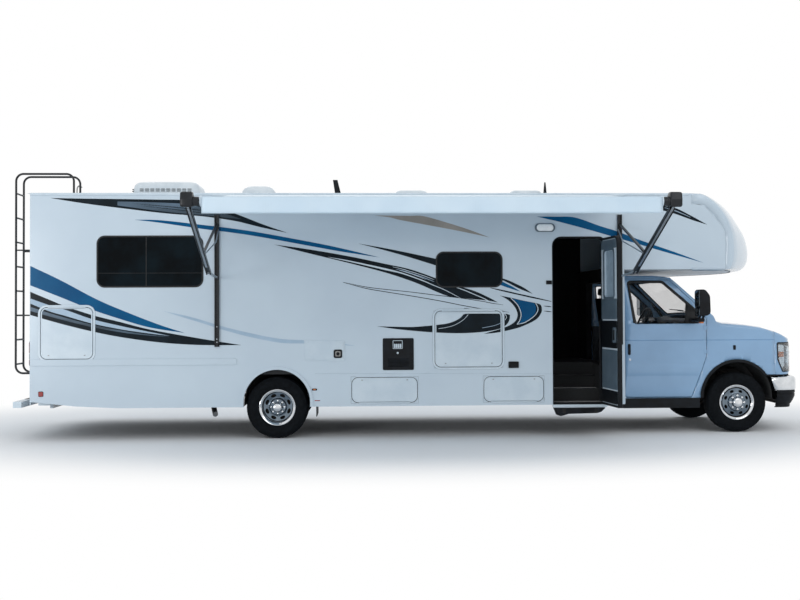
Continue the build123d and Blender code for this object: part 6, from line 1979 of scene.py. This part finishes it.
row(bm, upright, black_trim, 19, (6462, -504, 796), (0, 56, 0))
piece("grille_uprights", bm, black_trim, bevel=1)

for side, name in ((-1, "right"), (1, "left")):
    line = lamp_line if side < 0 else far_side(lamp_line)

    def along(s):
        return NOSE.length - s if side > 0 else s

    panel(f"headlamp_gasket_{name}", rubber, 30, LAMP_HEART, on_face(-2),
          swell(line, 6), [swell(line, -9)], stops, [830, 908, 1000])
    bm = bmesh.new()
    draped(bm, swell(line, -6), [], stops, LAMP_LEVELS, on_face(52))
    draped(bm, swell(line, -6), [swell(line, -12)], stops, LAMP_LEVELS, on_face(14))
    for s, z, size in ((lamp_in - 150, 1012, 78), (lamp_in - 150, 866, 66)):
        spot, inward = NOSE.at(along(s))
        bowl = [(-46, 0), (-46, size * 0.2), (-40, size * 0.5), (-24, size * 0.85), (-8, size),
                (-2, size * 1.08), (-8, size * 1.12), (-30, size * 1.12)]
        centre = (spot.x - 14, spot.y, z)
        turned(bm, bowl, centre, "x", 1, 32)
        turned(bm, [(-44, 0), (-16, 13), (-10, 10), (-8, 0)], centre, "x", 1, 16)
    walled(f"headlamp_reflector_{name}", bm, reflector, 3, LAMP_HEART)
    bm = bmesh.new()
    patch = [(along(50), 934), (along(138), 934), (along(138), 1002), (along(50), 1002)]
    draped(bm, patch, [], stops, [968], on_face(16))
    walled(f"headlamp_amber_{name}", bm, amber, 8, LAMP_HEART)
    bm = bmesh.new()

    def bulging(s, z):
        share = min(min(abs(s - along(34)), abs(s - along(lamp_in))) / 60, 1)
        return on_face(4 - 9 * max(share, 0))(s, z)

    draped(bm, swell(line, -4), [], stops, LAMP_LEVELS, bulging)
    walled(f"headlamp_lens_{name}", bm, clear_lens, 4, LAMP_HEART,
           stands_for=("lamps",) if side < 0 else ())

BUMPER = Wrap([(6120, -1008), (6260, -1006), (6360, -994), (6440, -962), (6498, -900), (6530, -820),
               (6560, -600), (6580, -320), (6590, 0)])


def bumper_rows(profile, start_x):
    """Rows round the bumper: each profile point gives a height and an inset."""
    rows = []
    for z, inset in profile:
        first = 0
        while BUMPER.line[first].x < start_x(z):
            first += 1
        first = BUMPER.marks[first]
        row_points = []
        for k in range(57):
            s = first + (BUMPER.length - 2 * first) * k / 56
            point, inward = BUMPER.at(s)
            spot = point + inward * inset
            row_points.append(mm(spot.x, spot.y, z))
        rows.append(row_points)
    return rows


bm = bmesh.new()
sheet(bm, bumper_rows([(513, 46), (514, 18), (522, 5), (540, 0), (600, -2), (645, 0), (668, 6),
                       (684, 18), (693, 36), (696, 62)], lambda z: 6200 - 70 * (z - 513) / 196))
walled("front_bumper_bar", bm, chrome, 5, (5800, 0, 600), stands_for=("front_bumper",))
bm = bmesh.new()
sheet(bm, bumper_rows([(301, 110), (301, 78), (308, 72), (340, 70), (348, 60), (392, 34),
                       (440, 14), (470, 10), (474, 16), (480, 16), (484, 9), (512, 8),
                       (516, 30)], lambda z: 6226))
for side in (-1, 1):
    bar(bm, (6250, 6530), (side * 392, side * 458), (470, 690))
walled("front_valance", bm, black_trim, 8, (5800, 0, 420))
bm = bmesh.new()
for side in (-1, 1):
    slab(bm, box(6180, 6330, 690, 722), "y", side * 860, side * 930)
slab(bm, oblong(-760, 760, 690, 716, 10), "x", 6440, 6470)
piece("front_bumper_fill", bm, black_trim, bevel=3)
# ------------------------------------------------------------------ cab interior

# Floor, sills, firewall, pillars' inner lining and headliner of the cab; the near black of the
# lining parts is painted shade of the unlit cab.
bm = bmesh.new()
bar(bm, (CAB_REAR, 5394), (-868, 868), (777, 812), 0)
for side in (-1, 1):
    bar(bm, (CAB_REAR, 5148), (side * 868, side * 934), (446, 812), 1)
    bar(bm, (CAB_REAR, 5148), (side * 868, side * 968), (440, 470), 1)
slab(bm, oblong(-930, 930, 820, 1440, 30), "x", 5380, 5394, 1)
for side in (-1, 1):
    slab(bm, box(4236, 4300, 820, 1935), "y", side * 850, side * 880, 1)
piece("cab_floor_and_firewall", bm, [carpet, shade_lining], stands_for=("cab_shell",),
      bevel=4)
bm = bmesh.new()
rows = [[mm(x, y, z + 10 * (1 - (y / 860) ** 2)) for y in range(-860, 861, 172)]
        for x, z in ((4236, 1932), (4690, 1932), (4790, 1926), (4880, 1912))]
sheet(bm, rows)
walled("cab_headliner", bm, shade_lining, 10, (4600, 0, 1500))

# White closing panels where the house stands wider than the cab.
bm = bmesh.new()
for side in (-1, 1):
    slab(bm, oblong(side * 962, side * 1267, 388, 2028, [2, 18, 2, 2]), "x", 4229, 4236)
slab(bm, box(-962, 962, 1984, 2028), "x", 4229, 4236)
piece("house_front_closure", bm, gelcoat, bevel=2)

# Wheel housings: black moulded liners over all four wheel positions.
bm = bmesh.new()
for x, z, radius, wide, deep in ((5720, 450, 452, 960, 484), (0, 433, 394, 1225, 810)):
    for side in (-1, 1):
        curve = [(x + radius * cos(pi * k / 24), z + radius * sin(pi * k / 24)) for k in range(25)]
        curve = [(x + radius, z - 40)] + curve + [(x - radius, z - 40)]
        bend = [[mm(u, side * y, v) for u, v in curve] for y in (wide, deep)]
        bend.append([mm(x + (u - x) * 0.8, side * deep, z + (v - z) * 0.8 if v > z else v)
                     for u, v in curve])
        sheet(bm, bend)
walled("wheel_housings", bm, rubber, 3, (3000, 0, 3000))

# Dashboard: a swept panel with binnacle, vents, radio and glove box, and the engine cover.
bm = bmesh.new()
profile = rounded([(5104, 1192), (5098, 1300), (5134, 1398), (5300, 1424), (5372, 1384),
                   (5372, 1192)], [30, 60, 60, 40, 10, 10], 5)
rows = []
for y in range(-920, 921, 92):
    rise = 26 * exp(-((y - 600) / 190) ** 2)
    pull = 22 * exp(-(y / 260) ** 2)
    rows.append([mm(x - (pull if x < 5200 else 0), y, z + (rise if z > 1390 else 0))
                 for x, z in profile])
skin(bm, rows)
slab(bm, oblong(-165, 165, 1222, 1372, 18), "x", 5066, 5110, 1)
slab(bm, oblong(-140, 140, 1278, 1362, 8), "x", 5060, 5070, 2)
DASH_VENTS = (-760, -300, 300, 880)
for y in DASH_VENTS:
    slab(bm, oblong(y - 62, y + 62, 1310, 1372, 16), "x", 5082, 5112, 1)
slab(bm, oblong(430, 770, 1318, 1432, 50), "x", 5096, 5120, 1)
slab(bm, oblong(448, 752, 1330, 1420, 42), "x", 5092, 5100, 2)
slab(bm, oblong(-790, -420, 1204, 1296, 16), "x", 5088, 5112, 0)
for y in (-90, 0, 90):
    turned(bm, [(0, 17), (16, 15), (18, 0)], (5068, y, 1248), "x", -1, 20, 1)
cover = rounded([(-326, 815), (326, 815), (296, 1176), (-296, 1176)], [10, 10, 60, 60])
skin(bm, [[mm(x, y, 815 + (z - 815) * f) for y, z in cover]
          for x, f in ((4944, 0.84), (4952, 0.94), (4976, 0.99), (5060, 1.0), (5376, 1.0))], 0)
for y in (-180, 180):
    slab(bm, oblong(4980, 5080, y - 45, y + 45, 40), "z", 1174, 1186, 1)
piece("dashboard_and_engine_cover", bm, [grey_vinyl, black_trim, dark_glass],
      stands_for=("dashboard",), bevel=3)
vane = bmesh.new()
slab(vane, [(0, 0), (6, 2), (0, 4)], "y", -52, 52)
bm = bmesh.new()
for y in DASH_VENTS:
    row(bm, vane.copy(), black_trim, 5, (5078, y, 1320), (0, 0, 9.5))
vane.free()
piece("dashboard_vent_vanes", bm, black_trim)

bm = bmesh.new()
centre = Vector((4970, 600, 1390))
lean_way = Vector((180, 0, -80)).normalized()
level = lean_way.cross(Vector((0, 1, 0))).normalized()


def spoke(a):
    """The direction in the wheel's plane at an angle from its left-hand spoke."""
    return Vector((0, 1, 0)) * cos(a) + level * sin(a)


pipe(bm, [tuple(centre + spoke(2 * pi * k / 48) * 185) for k in range(48)], 14, 10, 1, closed=True)
for a in (0, pi, 1.5 * pi):
    way = spoke(a)
    pipe(bm, [tuple(centre + way * 182), tuple(centre + way * 110 + lean_way * 14),
              tuple(centre + way * 40 + lean_way * 18)], [11, 13, 18], 8, 1, squash=0.5)
hub_turn = lean_way.to_track_quat("Z", "Y").to_matrix().to_4x4()
hub = bmesh.new()
turned(hub, [(-2, 0), (0, 34), (8, 58), (30, 66), (60, 30), (200, 26), (200, 0)], (0, 0, 0), "z",
       1, 28, 0)
bmesh.ops.transform(hub, matrix=Matrix.Translation(centre * MM) @ hub_turn, verts=hub.verts)
hub_mesh = bpy.data.meshes.new("hub")
hub.to_mesh(hub_mesh)
hub.free()
absorb(bm, hub_mesh, Matrix.Identity(4), 1)
pipe(bm, [(5060, 545, 1360), (5030, 430, 1378), (5024, 400, 1380)], 6, 8, 1)
piece("steering_wheel", bm, [grey_vinyl, black_trim])


def stuffed(name, outline, y0, y1, reach, dents, voxel=7):
    """A padded piece: remeshed, blown up by a cloth run, its swelling capped, then channelled.

    Each dent is (axis, place, width, depth): a sewn line across that axis at a place in mm.
    """
    bm = bmesh.new()
    slab(bm, outline, "y", y0, y1)
    bmesh.ops.remove_doubles(bm, verts=bm.verts, dist=0.02 * MM)
    bmesh.ops.recalc_face_normals(bm, faces=bm.faces)
    start = bpy.data.meshes.new(name)
    bm.to_mesh(start)
    bm.free()
    form = placed(name + "_form", start)
    grain = form.modifiers.new("remesh", "REMESH")
    grain.mode = "VOXEL"
    grain.voxel_size = voxel * MM
    mesh = baked(form)
    bpy.data.objects.remove(form)
    made = placed(name, mesh)
    rest = [v.co.copy() for v in mesh.vertices]
    cloth = made.modifiers.new("cloth", "CLOTH")
    cloth.settings.use_pressure = True
    cloth.settings.uniform_pressure_force = 4
    cloth.settings.effector_weights.gravity = 0
    cloth.settings.quality = 4
    cloth.point_cache.frame_start = 1
    cloth.point_cache.frame_end = 20
    for frame_number in range(1, 21):
        scene.frame_set(frame_number)
    graph = bpy.context.evaluated_depsgraph_get()
    swollen = bpy.data.meshes.new_from_object(made.evaluated_get(graph))
    made.modifiers.remove(cloth)
    for vertex, first, after in zip(mesh.vertices, rest, swollen.vertices):
        move = after.co - first
        if move.length > reach * MM:
            move = move.normalized() * reach * MM
        vertex.co = first + move
    bpy.data.meshes.remove(swollen)
    scene.frame_set(1)
    normals = [v.normal.copy() for v in mesh.vertices]
    for vertex, normal in zip(mesh.vertices, normals):
        sink = 0.0
        for axis, spot, width, depth in dents:
            away = (vertex.co["xyz".index(axis)] / MM - spot) / width
            if abs(normal["xyz".index(axis)]) < 0.8:
                sink = max(sink, depth * exp(-away * away))
        vertex.co -= normal * sink * MM
    for polygon in mesh.polygons:
        polygon.use_smooth = True
    mesh.materials.clear()
    mesh.materials.append(grey_vinyl)
    fine = made.modifiers.new("subdivision", "SUBSURF")
    fine.levels = fine.render_levels = 1
    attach(made, "vehicle")


# Seats: moulded pedestals carry padded cushions, backs and headrests in grey vinyl.
for side, name in ((-1, "right"), (1, "left")):
    y0, y1 = sorted((side * 392, side * 818))
    middle_y = side * 605
    bm = bmesh.new()
    base = oblong(4482, 4858, side * 452, side * 758, 30)
    skin(bm, [[mm(4670 + (x - 4670) * f, middle_y + (y - middle_y) * f, z)
               for x, y in base] for z, f in ((814, 1.06), (840, 1.0), (960, 0.94), (1000, 1.04))])
    slab(bm, oblong(4430, 4912, y0 + 12, y1 - 12, 50), "z", 996, 1016)
    back_plate = [(4422, 1110), (4450, 1110), (4356, 1700), (4336, 1700)]
    slab(bm, back_plate, "y", y0 + 40, y1 - 40)
    for y in (middle_y - 55, middle_y + 55):
        pipe(bm, [(4380, y, 1690), (4384, y, 1760)], 6, 8, 1)
    piece(f"seat_frame_{name}", bm, [black_trim, steel],
          stands_for=("seats",) if side < 0 else (), bevel=4)
    channels = [("y", middle_y - 118, 8, 7), ("y", middle_y + 118, 8, 7)]
    cushion = rounded([(4452, 1020), (4900, 1020), (4914, 1090), (4880, 1108), (4452, 1100)],
                      [20, 24, 24, 30, 20], 4)
    stuffed(f"seat_cushion_{name}", cushion, y0 + 14, y1 - 14, 12, channels + [("x", 4790, 8, 4)])
    back = rounded([(4440, 1118), (4528, 1118), (4520, 1300), (4444, 1700), (4366, 1700),
                    (4356, 1690)], [24, 30, 60, 30, 16, 8], 4)
    stuffed(f"seat_back_{name}", back, y0 + 18, y1 - 18, 12,
            channels + [("z", 1250, 8, 4), ("z", 1600, 8, 4)])
    rest = rounded([(4352, 1742), (4428, 1742), (4420, 1838), (4362, 1842)], [20, 22, 26, 24], 4)
    stuffed(f"seat_headrest_{name}", rest, middle_y - 96, middle_y + 96, 8, [("z", 1790, 6, 2)],
            6)

# ------------------------------------------------------------------- rear of house

REAR_X, REAR_BOW = -3040, 105
REAR_RADIUS = (WALL ** 2 + REAR_BOW ** 2) / (2 * REAR_BOW)


def on_rear(proud=0.0):
    """Places (y, z) on the bowed rear wall, standing proud of it by an amount."""
    def place(y, z):
        x = REAR_X + REAR_RADIUS - sqrt(REAR_RADIUS ** 2 - y * y)
        return mm(x - proud, y, z)
    return place


pane_y = list(range(-1200, 1201, 60))
opening = oblong(-330, 770, 1640, 2300, 90)
bm = bmesh.new()
draped(bm, swell(opening, 26), [swell(opening, -14)], pane_y, [], on_rear(8))
draped(bm, box(212, 228, 1650, 2290), [], pane_y, [], on_rear(4))
walled("rear_window_frame", bm, black_anodised, 26, (0, 0, 1900))
panel("rear_window_pane", dark_glass, 5, (0, 0, 1900), on_rear(-6),
      swell(opening, -6), [], pane_y)

# Tail lamps in their bezels, the third brake lamp and the row of roof lamps.
bm = bmesh.new()
tail_lens = bmesh.new()
for side in (-1, 1):
    y0, y1 = sorted((side * 1090, side * 1190))
    outline = oblong(y0 - 10, y1 + 10, 888, 1192, 26)
    draped(bm, outline, [swell(outline, -13)], [], [], on_rear(14))
    draped(bm, outline, [], [], [], on_rear(3))
    draped(bm, box(y0, y1, 1036, 1044), [], [], [], on_rear(14))
    draped(tail_lens, oblong(y0 + 2, y1 - 2, 1046, 1176, 18), [], [], [1110], on_rear(20), 0)
    draped(tail_lens, oblong(y0 + 2, y1 - 2, 976, 1034, 12), [], [], [1000], on_rear(20), 1)
    draped(tail_lens, oblong(y0 + 2, y1 - 2, 902, 966, 12), [], [], [930], on_rear(20), 0)
for y in (-760, -380, 0, 380, 760):
    outline = oblong(y - 52, y + 52, 2846, 2872, 12)
    draped(bm, swell(outline, 6), [], pane_y, [], on_rear(6))
    draped(tail_lens, outline, [], pane_y, [], on_rear(14), 0)
draped(bm, oblong(-210, 210, 2560, 2620, 26), [], pane_y, [], on_rear(8))
draped(tail_lens, oblong(-190, 190, 2570, 2610, 18), [], pane_y, [], on_rear(14), 0)
walled("tail_lamp_bezels", bm, black_trim, 12, (0, 0, 1200))
walled("tail_lamp_lenses", tail_lens, [red, pale_lens], 8, (0, 0, 1200))

# Rear camera hood, plate recess with its lamp, and seams of the rear cap.
bm = bmesh.new()
draped(bm, oblong(-64, 64, 2470, 2530, 20), [], [], [], on_rear(36))
draped(bm, oblong(-230, 230, 800, 960, 16), [oblong(-212, 212, 816, 944, 10)], pane_y, [],
       on_rear(8))
draped(bm, oblong(-40, 40, 962, 984, 8), [], [], [], on_rear(18))
walled("rear_camera_and_plate_frame", bm, black_trim, 30, (0, 0, 1500))
bm = bmesh.new()
for z in (1230, 2440):
    pipe(bm, [tuple(on_rear(0.4)(y, z) / MM) for y in range(-1230, 1231, 82)], 2.4, 6)
for side in (-1, 1):
    pipe(bm, [(-2928, side * 1262, 430), (-2931, side * 1263, 1600), (-2931, side * 1263, 2940)],
         7, 8)
piece("rear_cap_seams", bm, white_powder)
bm = bmesh.new()
for y in (-600, 600):
    slab(bm, oblong(-3148, -3072, y - 180, y + 180, 10), "z", 461.6, 465)
piece("rear_bumper_pads", bm, black_trim, bevel=1)

# ----------------------------------------------------------------------- roof units


def lofted(bm, x0, x1, y0, y1, rows, radius):
    """A moulded cover: rounded plan outlines drawn in as they rise; rows are (z, inset)."""
    loops = []
    for z, inset in rows:
        line = oblong(x0 + inset, x1 - inset, y0 + inset, y1 - inset, max(radius - inset * 0.5, 8))
        loops.append([mm(x, y, z) for x, y in line])
    skin(bm, loops)


def roof_at(y):
    return crown_height(y) - 3


bm = bmesh.new()
lofted(bm, -1930, -1060, -340, 340, [(roof_at(340) - 14, 6), (3078, 0), (3130, 6), (3180, 22),
                                     (3210, 52), (3222, 96), (3225, 150)], 110)
lofted(bm, -1790, -1200, -240, 240, [(3216, 0), (3226.0, 10)], 60)
for x in (-1700, -1500):
    turned(bm, [(0, 92), (1.6, 92), (1.6, 84), (-3, 80), (-3, 0)], (x + 40, 0, 3225), "z", 1, 32, 1)
piece("air_conditioner_shroud", bm, [white_abs, black_trim],
      stands_for=("roof_units",), bevel=3)
slot = bmesh.new()
slab(slot, oblong(-26, 26, 0, 9, 4, 3), "x", -8, 6)
bm = bmesh.new()
row(bm, slot.copy(), black_trim, 9, (-1922, -272, 3092), (0, 68, 0))
row(bm, slot, black_trim, 9, (-1920, -272, 3116), (0, 68, 0))
vent = bmesh.new()
slab(vent, oblong(-26, 26, 0, 9, 4, 3), "y", -8, 6)
for z, inset in ((3092, 0), (3116, 2)):
    for side in (-1, 1):
        row(bm, vent.copy(), black_trim, 10, (-1800, side * (335 - inset), z), (68, 0, 0))
vent.free()
piece("air_conditioner_louvres", bm, black_trim)

bm = bmesh.new()
lofted(bm, -545, -92, -230, 230, [(roof_at(230) - 10, 0), (3062, 0), (3070, 14), (3086, 18)], 50)
lofted(bm, -538, -99, -222, 222, [(3080, 4), (3116, 8), (3152, 34), (3178, 78), (3189, 140)], 90)
for x0, x1 in ((1480, 1900), (3000, 3420)):
    lofted(bm, x0, x1, -210, 210, [(roof_at(210) - 10, 0), (3058, 0), (3066, 16), (3080, 20)], 40)
    lofted(bm, x0 + 4, x1 - 4, -206, 206,
           [(3074, 0), (3098, 2), (3116, 20), (3125, 50), (3128, 90)], 60)
piece("roof_vent_covers", bm, white_abs, bevel=2.5)

bm = bmesh.new()
loops = []
for share in range(9):
    t = share / 8
    z = roof_at(300) - 6 + (3244 - roof_at(300) + 6) * t
    x0, x1 = 690 - 30 * t, 770 - 50 * t
    wide = 15 - 8 * t
    loops.append([mm(x, y, z) for x, y in oblong(x0, x1, -305 - wide, -305 + wide, 6.5, 4)])
skin(bm, loops)
turned(bm, [(-40, 44), (-4, 44), (6, 40), (10, 26), (60, 22), (170, 12), (200, 9), (207, 0)],
       (3440, -300, 3013), "z", 1, 24)
piece("roof_mast_and_aerial", bm, black_trim, bevel=1.5)
bm = bmesh.new()
turned(bm, [(-30, 34), (0, 34), (8, 30), (10, 14), (40, 13)],
       (-2790, 300, roof_at(300) + 2), "z", 1, 20)
pipe(bm, flowing([(-2790, 300, roof_at(300) + 20), (-2790, 300, 3190), (-2776, 300, 3228),
                  (-2750, 300, 3236), (-2726, 300, 3214)], 5), 9, 10)
piece("roof_tie_down_hook", bm, steel)

# Running boards' grip ribs.
rib = bmesh.new()
slab(rib, oblong(-2.2, 2.2, -46, 46, 2, 2), "z", 0, 2.2)
bm = bmesh.new()
for side in (-1, 1):
    row(bm, rib.copy(), black_trim, 60, (4300, side * 940, 429.5), (15.4, 0, 0))
rib.free()
piece("running_board_ribs", bm, black_trim)
